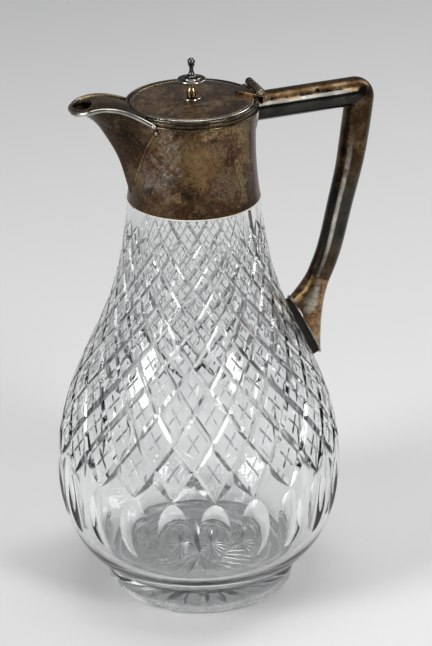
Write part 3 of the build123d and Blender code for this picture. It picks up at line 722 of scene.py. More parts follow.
class Finish:
    """One material and the few kinds of node that the finishes here are made of."""

    def __init__(self, name):
        self.material = bpy.data.materials.new(name)
        self.material.use_nodes = True
        self.tree = self.material.node_tree
        self.surface = self.tree.nodes["Principled BSDF"]
        self.place = self.add("TexCoord").outputs["Object"]
        self.wandering = None

    def add(self, kind, feeds=(), **settings):
        """A node of one kind, with its settings and what feeds its sockets, by name or number."""
        node = self.tree.nodes.new("ShaderNode" + kind)
        for key, value in settings.items():
            setattr(node, key, value)
        for key, value in dict(feeds).items():
            self.feed(node.inputs[key], value)
        return node

    def feed(self, socket, value):
        if hasattr(value, "is_linked"):
            self.tree.links.new(value, socket)
        else:
            socket.default_value = (*value, 1) if socket.type == "RGBA" else value

    def math(self, work, *values, clamp=True):
        return self.add("Math", enumerate(values), operation=work, use_clamp=clamp).outputs[0]

    def times(self, a, b):
        return self.math("MULTIPLY", a, b)

    def most(self, a, b):
        return self.math("MAXIMUM", a, b)

    def vector(self, work, *values):
        return self.add("VectorMath", enumerate(values), operation=work).outputs

    def between(self, value, low, high, low_to=0.0, high_to=1.0):
        """low_to to high_to, eased, as the value goes from low to high."""
        feeds = enumerate((value, low, high, low_to, high_to))
        return self.add("MapRange", feeds, interpolation_type="SMOOTHSTEP").outputs["Result"]

    def mix(self, share, first, second):
        feeds = {"Factor": share, MIX_FIRST: first, MIX_SECOND: second}
        return self.add("Mix", feeds, data_type="RGBA").outputs[MIXED]

    def over(self, body, colour, value, low, high, share=1.0):
        """A colour laid over the body as the value goes from low to high."""
        return self.mix(self.between(value, low, high, 0.0, share), body, colour)

    def ramp(self, value, *stops):
        node = self.add("ValToRGB", {"Fac": value})
        marks = node.color_ramp.elements
        while len(marks) < len(stops):
            marks.new(0.5)
        for mark, (spot, colour) in zip(marks, stops):
            mark.position = spot
            mark.color = (*colour, 1)
        return node.outputs["Color"]

    def noise(self, size, detail=4.0, roughness=0.6, distortion=0.0, place=None):
        """Cloudy noise whose patches are about size millimetres across."""
        feeds = {
            "Vector": place or self.place,
            "Scale": 1 / (size * MM),
            "Detail": detail,
            "Roughness": roughness,
            "Distortion": distortion,
        }
        return self.add("TexNoise", feeds).outputs["Fac"]

    def stretched(self, turn, long=25.0):
        """The place, drawn out along a turned Z."""
        feeds = {"Vector": self.place, "Rotation": turn, "Scale": (1, 1, long)}
        return self.add("Mapping", feeds, vector_type="TEXTURE").outputs["Vector"]

    def scratches(self, width, turn, long=25.0, least=0.63):
        """Straight scratches along a turned Z."""
        lines = self.noise(width, detail=2, roughness=0.6, place=self.stretched(turn, long))
        return self.between(lines, least, least + 0.07)

    def astray(self):
        """The place moved a few millimetres this way or that, so that no patch is round."""
        if not self.wandering:
            feeds = {"Vector": self.place, "Scale": 1 / (STRAY_CLOUD * MM), "Detail": 3}
            cloud = self.add("TexNoise", feeds).outputs["Color"]
            span, back = (2 * STRAY * MM,) * 3, (-STRAY * MM,) * 3
            push = self.vector("MULTIPLY_ADD", cloud, span, back)["Vector"]
            self.wandering = self.vector("ADD", self.place, push)["Vector"]
        return self.wandering

    def nearness(self, centre, reach):
        """1 near a point of the object, falling to 0 at about reach millimetres."""
        place = self.place if reach < SMALL_PATCH else self.astray()
        away = self.vector("DISTANCE", place, placed(*centre))["Value"]
        return self.between(away, 0.2 * reach * MM, reach * MM, 1.0, 0.0)

    def patch(self, centre, reach, grain):
        """A patch with a ragged outline round a point of the object."""
        torn = self.times(self.noise(grain, detail=6, roughness=0.7), RAGGED)
        spread = self.times(self.nearness(centre, reach * 1.5), 0.8)
        both = self.math("ADD", torn, spread, clamp=False)
        return self.between(both, 0.5 * RAGGED + 0.28, 0.5 * RAGGED + 0.56)

    def patches(self, places, grain=3.5):
        """Patches at rows of x, y, z and reach."""
        found = 0.0
        for *centre, reach in places:
            found = self.most(found, self.patch(centre, reach, grain))
        return found

    def normal(self):
        return self.add("NewGeometry").outputs["Normal"]

    def height(self, vector):
        return self.add("SeparateXYZ", {0: vector}).outputs["Z"]

    def facing_up(self, low, high):
        """0 to 1 as the surface turns from level with low to high."""
        return self.between(self.height(self.normal()), low, high)

    def edges(self, width):
        """1 on the piece's edges, 0 on its flats."""
        rounded = self.add("Bevel", {"Radius": width * MM}, samples=6).outputs["Normal"]
        same = self.vector("DOT_PRODUCT", rounded, self.normal())["Value"]
        return self.between(same, 0.88, 0.99, 1.0, 0.0)

    def finished(self, *dents, **values):
        """The material with its values, and with dents: each a height and its depth in millimetres."""
        for height, depth in dents:
            feeds = {"Strength": 1.0, "Distance": depth * MM, "Height": height}
            if "Normal" in values:
                feeds["Normal"] = values["Normal"]
            values["Normal"] = self.add("Bump", feeds).outputs["Normal"]
        for key, value in values.items():
            self.feed(self.surface.inputs[key.replace("_", " ")], value)
        return self.material


SILVER = (0.62, 0.58, 0.51)
GOLD_TARNISH = (0.25, 0.168, 0.080)
PALE_TARNISH = (0.215, 0.175, 0.130)
WARM_TARNISH = (0.115, 0.066, 0.028)
OLIVE_TARNISH = (0.15, 0.108, 0.052)
ORANGE_TARNISH = (0.20, 0.105, 0.048)
BROWN_TARNISH = (0.072, 0.036, 0.015)
RED_TARNISH = (0.070, 0.027, 0.014)
DARK_TARNISH = (0.018, 0.011, 0.007)
BLACK_TARNISH = (0.006, 0.005, 0.005)
PAINTED_DARK_REFLECTION = (0.040, 0.039, 0.035)           # near-black base colour: painted dark reflection on glossy silver
LOW_BAND = 9                                # height over which the dark at a piece's foot fades


def shaded(colour, shade):
    return tuple(min(1.0, part * shade) for part in colour)


UPRIGHT_SCORES = ((0, 0.75, -0.6), (0, -0.95, -0.5))     # turns of the scratches on what stands up
LEVEL_SCORES = ((0, pi / 2, 0.35), (0, pi / 2, 1.3))     # and on what lies flat


def tarnished(
    name, shade=1.0, rubbed=0.2, golden=(), wear_and_highlight_at=(), scores=UPRIGHT_SCORES, edge=0.4, gloss=0.3,
    red=0.75, low_dark=None, pale_at=(), orange=(), wiped=0.0,
):
    """Old silver gone brown: clouds of tarnish, golden and scratched patches, specks and worn edges."""
    f = Finish(name)
    tarnish = (DARK_TARNISH, BROWN_TARNISH, RED_TARNISH, WARM_TARNISH, GOLD_TARNISH)
    dark, brown, red_brown, warm, gold = (shaded(colour, shade) for colour in tarnish)
    cloud = f.noise(16, detail=7, roughness=0.62, distortion=0.6)
    body = f.ramp(cloud, (0.36, dark), (0.46, brown), (0.57, warm), (0.72, gold))
    if low_dark:
        band = f.between(f.height(f.astray()), low_dark * MM, (low_dark + LOW_BAND) * MM, 0.72, 0.0)
        body = f.mix(band, body, shaded(red_brown, 0.55))
    body = f.over(body, red_brown, f.noise(21, detail=4, roughness=0.55), 0.46, 0.58, red)
    grain = f.noise(1.7, detail=6, roughness=0.85)
    body = f.over(body, gold, grain, 0.51, 0.64, 0.62)
    body = f.over(body, dark, grain, 0.48, 0.36, 0.75)
    fleck = f.between(f.noise(1.1, detail=4, roughness=0.75), 0.4, 0.6)
    golds = (golden, shaded(gold, 1.25), 0.85)
    for places, colour, share in (golds, (pale_at, PALE_TARNISH, 0.5), (orange, ORANGE_TARNISH, 0.6)):
        if places:
            body = f.mix(f.times(f.times(f.patches(places), fleck), share), body, colour)
    if wiped:
        smears = f.noise(2.4, detail=4, roughness=0.65, place=f.stretched(scores[0], long=3.5))
        body = f.over(body, dark, smears, 0.52, 0.62, wiped)
        body = f.over(body, shaded(gold, 1.1), smears, 0.47, 0.38, wiped)
        blots = f.noise(2.4, detail=5, roughness=0.7, place=f.stretched(scores[0], long=2))
        body = f.over(body, shaded(dark, 1.6), blots, 0.53, 0.61, min(0.9, 2.6 * wiped))
    speck_zone = f.between(f.noise(9, detail=3), 0.48, 0.6)
    specks = f.times(f.between(f.noise(1.3, detail=2, roughness=0.5), 0.62, 0.68), speck_zone)
    body = f.mix(specks, body, BLACK_TARNISH)
    lines = f.most(f.scratches(0.42, scores[0], least=0.56), f.scratches(0.4, scores[1], least=0.58))
    line_zone = f.between(f.noise(20, detail=3), 0.5, 0.66, 0.04, 0.4)
    if wear_and_highlight_at:
        hazy = f.patches(wear_and_highlight_at, grain=2.0)
        line_zone = f.most(line_zone, f.times(hazy, f.between(f.noise(5), 0.4, 0.6, 0.3, 1.0)))
        haze = f.times(hazy, f.between(grain, 0.42, 0.58, 0.02, 0.13))
        body = f.mix(haze, body, shaded(SILVER, 0.55))
    scored = f.times(lines, line_zone)
    worn = f.between(f.noise(7, detail=6, roughness=0.75), 0.66 - 0.2 * rubbed, 0.74, 0.0, rubbed)
    edge_wear = f.times(f.edges(edge), f.between(f.noise(3, detail=3), 0.3, 0.6, 0.2, 0.9))
    bright = f.most(f.most(worn, f.times(scored, 0.42)), edge_wear)
    return f.finished(
        (f.noise(24, detail=1), 0.5), (grain, 0.035), (scored, -0.015),
        Base_Color=f.mix(bright, body, SILVER),
        Metallic=0.9,
        Roughness=f.between(grain, 0.3, 0.7, gloss - 0.05, gloss + 0.12),
    )


HIGHLIGHT_WAYS = ((-0.52, -0.85, 0.05), (-0.52, 0.85, 0.05))     # facings where the lower arm gets its painted highlight
TORN = 70                                                     # how far the heights stray there


def handled(
    name, brown_from=0.60, brown_to=0.66, dark_spots=(), golden=(), wear_and_highlight_at=(), speckle=0.62, high=None,
    shade=1.0, highlight_band=None, darker_above=None,
):
    """Glossy silver on a near-black base that is painted dark reflection, darker underneath as painted
    shade, with golden brown tarnish where it is not rubbed and painted highlights where told.
    """
    f = Finish(name)
    torn = f.noise(5, detail=7, roughness=0.7)
    grain = f.noise(1.1, detail=4, roughness=0.75)
    up = f.math("ADD", f.times(f.facing_up(-0.9, 0.95), 0.7), f.times(torn, 0.55), clamp=False)
    dull = f.between(up, brown_from + 0.27, brown_to + 0.27, 0.0, 0.95)
    ragged = f.math("MULTIPLY_ADD", torn, TORN * MM, f.height(f.place), clamp=False)

    def level(low, top, *shares):
        return f.between(ragged, low * MM, top * MM, *shares)

    if high:
        low, top = high
        far = f.most(level(low + 50, low + 15), level(top + 25, top + 50))
        dull = f.times(f.most(dull, 0.75), f.most(far, 0.1))
    if golden:
        dull = f.most(dull, f.patches(golden))
    brown = f.ramp(
        f.noise(8, detail=5, roughness=0.65),
        (0.38, shaded(BROWN_TARNISH, shade)),
        (0.5, shaded((0.125, 0.074, 0.035), shade)),
        (0.64, shaded((0.24, 0.158, 0.082), shade)),
    )
    brown = f.over(brown, DARK_TARNISH, grain, 0.5, 0.34, 0.8)
    brown = f.over(brown, BLACK_TARNISH, f.noise(1.6, detail=3, roughness=0.6), speckle, speckle + 0.04)
    if dark_spots:
        brown = f.mix(f.patches(dark_spots, grain=1.0), brown, BLACK_TARNISH)
    if darker_above:
        rising = level(darker_above + 27, darker_above + 43, 0.0, 0.7)
        brown = f.mix(rising, brown, shaded(BROWN_TARNISH, 0.6))
    # Painted dark reflection: a patchy near-black glossy base with fine scratches, in place of bright
    # silver.
    dark_reflection = f.over(PAINTED_DARK_REFLECTION, shaded(PAINTED_DARK_REFLECTION, 0.55), f.noise(12, detail=5), 0.4, 0.65)
    fine = f.scratches(0.35, (0, 1.45, 0), long=30, least=0.66)
    dark_reflection = f.mix(f.times(fine, 0.25), dark_reflection, SILVER)
    # Painted shade: darker still where the surface faces down.
    dark_reflection = f.mix(f.facing_up(-0.15, -0.75), dark_reflection, shaded(PAINTED_DARK_REFLECTION, 0.35))
    whole = f.mix(dull, dark_reflection, brown)
    # Painted highlight: a narrow bright band where the surface faces the given ways, fading at its ends.
    if highlight_band:
        low, top = highlight_band
        highlight = 0.0
        for way in HIGHLIGHT_WAYS:
            side = f.vector("DOT_PRODUCT", f.normal(), way)["Value"]
            highlight = f.most(highlight, f.between(side, 0.968, 1.0))
        highlight = f.times(highlight, f.between(f.noise(6, detail=5), 0.3, 0.55, 0.25, 1.0))
        highlight = f.times(f.times(highlight, level(low + 25, low + 45)), level(top + 60, top + 10))
        whole = f.mix(highlight, whole, SILVER)
    # Painted highlight: soft bright spots round the given places.
    if wear_and_highlight_at:
        highlight_spots = 0.0
        for *centre, reach in wear_and_highlight_at:
            highlight_spots = f.most(highlight_spots, f.nearness(centre, reach))
        highlight_spots = f.times(highlight_spots, f.between(f.noise(2.2, detail=5, roughness=0.7), 0.36, 0.62, 0.45, 0.85))
        whole = f.mix(highlight_spots, whole, SILVER)
    return f.finished(
        (f.noise(15, detail=1), 0.25), (dull, 0.02), (grain, 0.006),
        Base_Color=whole,
        Metallic=1.0,
        Roughness=f.math("ADD", f.times(dull, 0.2), f.between(grain, 0.3, 0.7, 0.085, 0.15)),
    )


def bright_work(name, film, tarnish=0.4, gloss=0.12, painted_dark_top=0.0, darkened_at=()):
    """Wires and turned work: brighter silver, with darker olive patches in places and, where told, upward
    faces darkened as painted dark reflection.
    """
    f = Finish(name)
    cloud = f.noise(4, detail=5, roughness=0.7)
    grain = f.noise(0.9, detail=4, roughness=0.7)
    dull = f.between(cloud, 0.66 - 0.3 * tarnish, 0.74 - 0.2 * tarnish, 0.0, 0.8)
    # Darker olive patches round the given places.
    if darkened_at:
        dull = f.most(dull, f.times(f.patches(darkened_at), 0.92))
    metal = f.over(film, shaded(film, 0.6), f.noise(9, detail=3), 0.4, 0.65)
    # Painted dark reflection: the upward faces darkened.
    if painted_dark_top:
        metal = f.mix(f.times(f.facing_up(0.7, 0.93), painted_dark_top), metal, DARK_TARNISH)
    olive_dark = f.over(DARK_TARNISH, OLIVE_TARNISH, grain, 0.34, 0.54)
    return f.finished(
        (cloud, 0.03), (grain, 0.008),
        Base_Color=f.mix(dull, metal, olive_dark),
        Metallic=1.0,
        Roughness=f.math("ADD", f.times(dull, 0.2), f.between(grain, 0.3, 0.7, gloss, gloss + 0.08)),
    )


def crystal(name, rough=(0.0, 0.035), tint=(0.975, 0.985, 0.985), grit=0.0, clear=1.0):
    """Lead glass: clear, with wipe marks; ground or worn where it is rough."""
    f = Finish(name)
    smear = f.noise(2.5 if grit else 13, detail=6, roughness=0.65, distortion=1.0)
    return f.finished(
        (f.noise(26, detail=1), 0.1), (smear, 0.01 + grit),
        Base_Color=tint,
        Transmission_Weight=clear,
        IOR=LEAD_GLASS_IOR,
        Roughness=f.between(smear, 0.45, 0.72, *rough),
    )


def broken_glass():
    """The chip's rough, whitish break, with shell-shaped ripples."""
    f = Finish("broken_glass")
    grit = f.noise(1.4, detail=7, roughness=0.75)
    return f.finished(
        (grit, 0.6), (f.noise(3.5, detail=3, distortion=1.5), 0.6),
        Base_Color=f.ramp(grit, (0.38, (0.52, 0.55, 0.55)), (0.54, (0.97, 0.98, 0.98))),
        Transmission_Weight=0.12,
        IOR=LEAD_GLASS_IOR,
        Roughness=f.between(grit, 0.3, 0.7, 0.2, 0.5),
    )


def cement(name, dark, pale, stained):
    f = Finish(name)
    grain = f.noise(0.8, detail=5, roughness=0.7)
    stain = f.noise(6, detail=4)
    return f.finished(
        (grain, 0.12), (stain, 0.1),
        Base_Color=f.over(f.ramp(grain, (0.3, dark), (0.7, pale)), stained, stain, 0.45, 0.65, 0.6),
        Roughness=f.between(grain, 0.3, 0.7, 0.75, 0.95),
        Specular_IOR_Level=0.2,
    )


def brass():
    f = Finish("old_brass")
    cloud = f.noise(2.2, detail=5)
    return f.finished(
        (cloud, 0.03),
        Base_Color=f.ramp(cloud, (0.3, (0.10, 0.06, 0.025)), (0.6, (0.42, 0.28, 0.11))),
        Metallic=1.0,
        Roughness=f.between(cloud, 0.3, 0.7, 0.42, 0.28),
    )


COLLAR_SILVER = tarnished(
    "collar_silver", shade=0.94, red=0.9, low_dark=221, wiped=0.1,
    golden=[
        # The first four run in a column down the collar's front right: painted highlight in a golden tone.
        (19, -26.5, 254, 7), (19, -26.5, 244, 8), (19, -27, 234, 7), (17, -29, 226, 5),
        (0, -32.6, 266, 8), (11, -30.5, 264, 9), (-16.4, -28.2, 229.6, 5), (-10, 31, 240, 14),
        (12, 30, 255, 9), (-24, 20, 262, 10), (24, 20, 232, 9),
    ],
    wear_and_highlight_at=[
        (-21, -25, 254, 7), (-27, -18, 240, 8), (-20.4, -25.4, 244.7, 5), (-20, 26, 246, 9),
        (8, 31, 236, 8),
    ],
    orange=[
        (-23, -23, 261, 6), (-24, -21.5, 250, 4), (-3, -32, 250, 9), (-8, -31, 240, 6),
        (10, -31, 252, 6),
    ],
    pale_at=[(4, -32, 234, 9), (-23, -22, 236, 9), (-30, -10, 244, 7), (20, 25, 244, 8)],
)
# The spout's sheet is made very dark (shade 0.42): painted dark reflection.
SPOUT_SILVER = tarnished("spout_silver", shade=0.42, rubbed=0.05, edge=0.2)
HOOD_SILVER = tarnished(
    "hood_silver", shade=0.52, rubbed=0.08, scores=LEVEL_SCORES, edge=0.2, gloss=0.38, red=0.4,
    golden=[(-42, 6, 273, 10), (-33, 0, 272, 8), (-50, 0, 274, 8)],
)
LID_SILVER = tarnished(
    "lid_silver", shade=1.22, rubbed=0.16, scores=LEVEL_SCORES, red=0.3, wiped=0.28,
    golden=[
        (2, -15, 272, 9), (-21, 0, 272, 11), (-6, -23, 272, 9), (10, 14, 272, 10), (-14, 16, 272, 9),
        (-15, -12, 272, 8), (22, -6, 272, 6),
    ],
    wear_and_highlight_at=[(4, -12, 272, 7), (-18, -10, 272, 7), (16, 10, 272, 8)],
)
SEAM_SILVER = tarnished("seam_silver", shade=1.1, rubbed=0.2, edge=0.1, gloss=0.3, red=0.2)
HANDLE_SILVER = handled(
    "handle_silver", dark_spots=[(66, -4.6, 268.6, 1.6)], golden=[(95, -4, 264, 7)]
)
ARM_SILVER = handled(
    "lower_arm_silver", brown_from=0.0, brown_to=0.2, high=(178, 215), shade=0.5, highlight_band=(160, 225)
)
# Places of the painted highlight on the shoe: x and z, and reach. Both sides have them.
SHOE_HIGHLIGHTS = [
    (66.0, 163.0, 2.8), (64.6, 159.5, 3.2), (63.2, 156.5, 3.9), (61.5, 152.8, 5.2),
    (59.8, 149.2, 3.8),
]
SHOE_SILVER = handled(
    "shoe_silver", brown_from=-0.3, brown_to=-0.1, speckle=0.59, shade=2.3, highlight_band=(138, 300),
    wear_and_highlight_at=[(x, y, z, reach) for x, z, reach in SHOE_HIGHLIGHTS for y in (-8.0, 8.0)], darker_above=161,
)
WIRE_SILVER = bright_work(
    "wire_silver", (0.50, 0.47, 0.41), tarnish=0.2,
    darkened_at=[(-36, 18, 272, 13), (-50, 14, 274, 11), (-60, 8, 273, 6), (-26, 21, 267, 8)],
)
BACK_OF_RIM = [(-33, -10, 272, 9), (-32, 8, 272, 14), (-20, 28, 272, 16), (6, 33, 272, 16)]
RIM_SILVER = bright_work("rim_silver", (0.060, 0.053, 0.042), tarnish=0.6, darkened_at=BACK_OF_RIM)
LID_WIRE_SILVER = bright_work("lid_wire_silver", (0.72, 0.69, 0.62), tarnish=0.15, darkened_at=BACK_OF_RIM)
BEAD_SILVER = bright_work("bead_silver", (0.085, 0.068, 0.045), tarnish=0.6)
PLATE_SILVER = bright_work("seat_plate_silver", (0.30, 0.28, 0.24), tarnish=0.5)
HINGE_SILVER = tarnished(
    "hinge_silver", shade=0.9, rubbed=0.25, edge=0.25, gloss=0.2, red=0.5, wear_and_highlight_at=[(34, -9, 273, 5)]
)
LEAF_SILVER = tarnished("leaf_silver", shade=0.85, rubbed=0.35, edge=0.5, gloss=0.2, red=0.1)
DISC_SILVER = bright_work("finial_disc_silver", (0.62, 0.59, 0.53), tarnish=0.1, gloss=0.12, painted_dark_top=0.9)
PIN_SILVER = bright_work("hinge_pin_silver", (0.34, 0.32, 0.28), tarnish=0.3, gloss=0.18)
RING_SILVER = bright_work("finial_ring_silver", (0.55, 0.51, 0.45), tarnish=0.15, gloss=0.14, painted_dark_top=0.6)
FINIAL_STEEL = bright_work("finial_grey_silver", (0.12, 0.123, 0.118), tarnish=0.05, gloss=0.08)
BULB_SILVER = bright_work("bulb_golden_silver", (0.32, 0.22, 0.12), tarnish=0.2, gloss=0.13)
GLASS_FINISHES = (
    crystal("cut_crystal"),
    crystal("cut_faces", rough=(0.05, 0.13), tint=(0.955, 0.965, 0.965), grit=0.01),
    crystal("ground_glass", rough=(0.14, 0.36), tint=(0.96, 0.97, 0.97), grit=0.03),
    crystal("star_cuts", rough=(0.12, 0.3), tint=(0.985, 0.99, 0.99), grit=0.03),
    crystal("misted_foot_glass", rough=(0.1, 0.42), tint=(0.98, 0.985, 0.985), grit=0.02, clear=0.8),
    crystal("worn_foot_glass", rough=(0.35, 0.6), tint=(0.93, 0.94, 0.94), grit=0.05),
    broken_glass(),
)
PLASTER = cement("cement_plaster", (0.50, 0.47, 0.40), (0.80, 0.77, 0.70), (0.36, 0.30, 0.22))
# The shoe's cement is near-black: painted shade in the gap between the shoe and the glass.
SHOE_CEMENT_IN_SHADE = cement("cement_painted_dark", (0.007, 0.006, 0.005), (0.028, 0.023, 0.017), (0.005, 0.004, 0.004))
BRASS = brass()


# ---------------------------------------------------------------- glass piece
def make_glass():
    glass = cut_glass()
    cut_away(glass, chip_cutter())
    finish("cut_glass_body", None, "jug", "glass_body", soften=9)


def make_cement_line():
    """The thin line of cement squeezed out under the collar."""
    middle_r, radius, z = COLLAR_FOOT_R - 0.1, 0.42, collar_low.z + 0.05
    spun([(middle_r + radius * cos(pi * n / 6), z + radius * sin(pi * n / 6)) for n in range(13)])
    finish("cement_line", PLASTER, "jug", soften=60)


# ---------------------------------------------------------------- collar, ring, lid and finial
COLLAR_FOOT_R, COLLAR_WAIST_R, COLLAR_TOP_R = 34.3, 32.1, 33.0
COLLAR_WAIST_H = 32.5       # above the collar's foot
COLLAR_WALL = 0.9
RING_LIP = 0.6              # from the ring's widest place in to its upper edge


def collar_line():
    """The collar's outside, from its foot up."""
    foot, top = collar_low.z, collar_high.z
    return arc_through(
        (COLLAR_FOOT_R, foot), (COLLAR_WAIST_R, foot + COLLAR_WAIST_H), (COLLAR_TOP_R, top), 24
    )


def make_collar():
    outer = collar_line()
    inner = [(r - COLLAR_WALL, z) for r, z in reversed(outer)]
    cut_away(spun(outer + inner + outer[:1]), channel_block())
    finish("collar", COLLAR_SILVER, "jug", "collar_band")


def make_rim_ring():
    """The ring with two reeds, and the ledge that the lid lies on."""
    low, high, out = rim_low.z, rim_high.z, rim_high.x
    ledge_r, ledge_in, ledge_h = 32.3, 30.5, high - 1.5
    lower_reed = arc_through((out - 0.7, low), (out - 0.1, low + 0.55), (out - 0.6, low + 1.1), 6)
    upper_reed = arc_through((out - 0.6, low + 1.25), (out, low + 2.05), (out - 0.7, high - 0.05), 8)
    lip = [(out - 1.0, high), (ledge_r + 0.15, high), (ledge_r, high - 0.15)]
    ledge = [(ledge_r, ledge_h), (ledge_in, ledge_h), (ledge_in, low)]
    spun(lower_reed + upper_reed + lip + ledge + lower_reed[:1])
    finish("rim_ring", RIM_SILVER, "jug", "collar_rim_ring")


def make_bead_wire():
    """Two halves, from the handle's escutcheon round to the spout."""
    radius, middle_r, z = 0.65, 33.32, collar_high.z - 1.7
    start, end = 14.6, 140.0
    halves = []
    for first, last in ((start, end), (-end, -start)):
        turns = [radians(first + (last - first) * n / 40) for n in range(41)]
        halves.append(wire_along([turned_to(middle_r, turn, z) for turn in turns], radius))
    joined(*halves)
    finish("bead_wire", BEAD_SILVER, "jug", "collar_bead_wire", soften=50)


LID_R, LID_RISE = lid_wire_high.x, 0.7
LID_EDGE_R = LID_R - 0.6
STUD_BORE = 0.85


def make_lid():
    low, edge, top = lid_wire_low.z, lid_wire_high.z, lid_high.z
    over = arc_through((-LID_EDGE_R, edge), (0, top), (LID_EDGE_R, edge), 64)[32:]
    under = arc_through((-LID_EDGE_R, low), (0, low + LID_RISE), (LID_EDGE_R, low), 32)[16:]
    groove_r, groove, rim_h = LID_EDGE_R - 1.3, 0.14, edge + 0.06
    outline = [(STUD_BORE, top)]
    outline += [(r, z) for r, z in over if STUD_BORE < r < groove_r - 0.3]
    outline += [(groove_r - 0.2, rim_h), (groove_r, rim_h - groove), (groove_r + 0.2, rim_h)]
    outline += [(LID_EDGE_R, edge)] + [(r, z) for r, z in reversed(under) if r > STUD_BORE]
    spun(outline + [(STUD_BORE, low + LID_RISE), (STUD_BORE, top)])
    finish("lid_plate", LID_SILVER, "lid", "lid_disc", soften=25)


def make_lid_wire():
    low, high = lid_wire_low.z, lid_wire_high.z
    bulge = arc_through((LID_EDGE_R, low), (LID_R, (low + high) / 2), (LID_EDGE_R, high), 10)
    spun(bulge + bulge[:1])
    finish("lid_wire", LID_WIRE_SILVER, "lid", "lid_edge_wire", soften=60)


def make_bezel():
    out, low, high = bezel_high.x, bezel_low.z, lid_wire_low.z + 0.06
    outline = [(out, high), (out, low + 0.2), (out - 0.2, low), (out - 0.8, low), (out - 1.0, low + 0.2)]
    spun(outline + [(out - 1.0, high + 0.05), (out, high)], steps=128)
    finish("bezel", LID_SILVER, "lid", "lid_bezel")


def finial_piece(name, node, finish_of, outline):
    """One bored and turned piece of the finial; the outline runs up its outside."""
    low, high = outline[0][1], outline[-1][1]
    spun([(STUD_BORE, low), *outline, (STUD_BORE, high), (STUD_BORE, low)], steps=64)
    finish(name, finish_of, "lid", node, soften=40)


def make_finial():
    base = lid_high.z
    bulb_h = base + 1.0
    flange_h = bulb_h + 8.6
    step_h = flange_h + 1.3
    cone_h = step_h + 0.9
    cup_h = cone_h + 4.4
    ring = [(4.3, base - 0.25)] + arc_through((4.45, base - 0.2), (4.7, base + 0.3), (4.1, base + 0.85), 8)
    finial_piece("finial_ring", "finial_base_ring", RING_SILVER, ring + [(3.5, bulb_h - 0.1), (2.4, bulb_h)])
    bulb = [(2.45, bulb_h)] + arc_through((2.5, bulb_h + 0.1), (2.9, bulb_h + 2.3), (2.15, bulb_h + 4.7), 16)
    bulb += arc_through((2.1, bulb_h + 4.9), (1.85, bulb_h + 6.3), (2.3, flange_h - 0.5), 8)
    finial_piece("finial_bulb_and_shank", "finial_bulb", BULB_SILVER, bulb + [(2.7, flange_h)])
    rim = [(2.8, flange_h), (6.3, flange_h + 0.05)]
    rim += arc_through((6.5, flange_h), (7.3, flange_h + 0.55), (6.8, flange_h + 1.05), 10)
    saucer = arc_through((6.6, flange_h + 1.0), (5.7, flange_h + 0.82), (4.85, flange_h + 1.1), 6)
    tier = arc_through((4.7, flange_h + 1.2), (4.65, step_h + 0.25), (4.2, step_h + 0.5), 6)
    top = [(3.7, step_h + 0.6), (3.3, cone_h)]
    finial_piece("finial_disc", "finial_flange", DISC_SILVER, rim + saucer + tier + top)
    cone = arc_through((3.3, cone_h), (1.75, cone_h + 1.2), (1.12, cup_h - 0.9), 12)
    cone += arc_through((1.1, cup_h - 0.7), (1.05, cup_h + 0.1), (1.75, cup_h + 1.5), 8)
    finial_piece("finial_spire", "finial_cone", FINIAL_STEEL, cone + [(1.7, cup_h + 1.6)])
    ball_r = 1.95
    ball_h = cup_h + 1.6 + ball_r - 0.27
    spun([(ball_r * sin(pi * n / 24), ball_h - ball_r * cos(pi * n / 24)) for n in range(25)], steps=48)
    finish("finial_top_ball", FINIAL_STEEL, "lid", "finial_ball", soften=60)


# ---------------------------------------------------------------- spout
# Along the spout: distance from the axis, height of the keel, half width, height of the edges.
SPOUT_STATIONS = [
    (22.0, 192.0, 23.6, 263.6), (27.0, 206.0, 20.3, 266.8), (34.0, 225.0, 15.7, 270.6),
    (40.0, 246.0, 13.3, 273.2), (46.0, 257.6, 11.9, 274.6), (52.0, 266.2, 10.9, 274.9),
    (57.5, 269.8, 9.9, 273.9), (62.0, 270.7, 9.0, 272.9), (63.4, 270.9, 8.7, 272.5),
]
SPOUT_FLARES = [(26.0, 0.95), (36.0, 0.9), (52.0, 0.68)]    # how round the sides are along the spout
SPOUT_WALL, KEEL_WALL = 1.0, 1.6      # the sheet at the sides, and upright at the keel
MOUNT_DEEP = 60             # how far the trimming block reaches below the collar
HOOD_RISE = 1.7
SNOUT_START, SNOUT_TIP = 56.5, 63.4
MOUTH_X, MOUTH_LONG, MOUTH_WIDE = 57.6, 4.9, 6.2
HOOD_STEPS = 24
HOOD_CUT, MOUTH_CUT = (200, 300), (262, 290)        # lower and upper end of what cuts the hood

# The wire round the spout: its end, tip and snout, its size, and where it follows the edge.
WIRE_END, WIRE_TIP = (-26.6, 21.2, 266.8), (-62.8, 0.0, 272.4)
WIRE_SNOUT = [(-60.6, 7.4, 273.2), (-62.4, 4.6, 272.6)]
WIRE_R, WIRE_OUT = 1.2, 0.3
WIRE_FROM, WIRE_TO = 30, 58.5
SEAM_R, SEAM_THIN = 1.1, 0.35
SEAM_FROM, SEAM_TO, SEAM_STEPS = 8.0, 6.0, 22       # above the collar's foot, below its top


def spout_places():
    """Close stations along the spout, closer at the rounded snout."""
    places = []
    for x, keel, half, top in any_curve(SPOUT_STATIONS, 44):
        if x > SNOUT_START:
            share = min(1.0, (x - SNOUT_START) / (SNOUT_TIP - SNOUT_START))
            x = SNOUT_START + (SNOUT_TIP - SNOUT_START) * sin(share * pi / 2)
            half *= max(0.12, (1 - (sin(share * pi / 2)) ** 2.6)) ** 0.5
        places.append((x, keel, half, top))
    return places


def skirt(x, keel, half, top, count=18):
    """One side and the other of a section, from edge to edge under the keel."""
    side, flare = [], share_of(SPOUT_FLARES, x)
    for n in range(count + 1):
        share = (n / count) ** 1.6
        side.append((half * share**flare, keel + (top - keel) * share))
    left = [(-x, -y, z) for y, z in reversed(side)]
    return left + [(-x, y, z) for y, z in side[1:]]


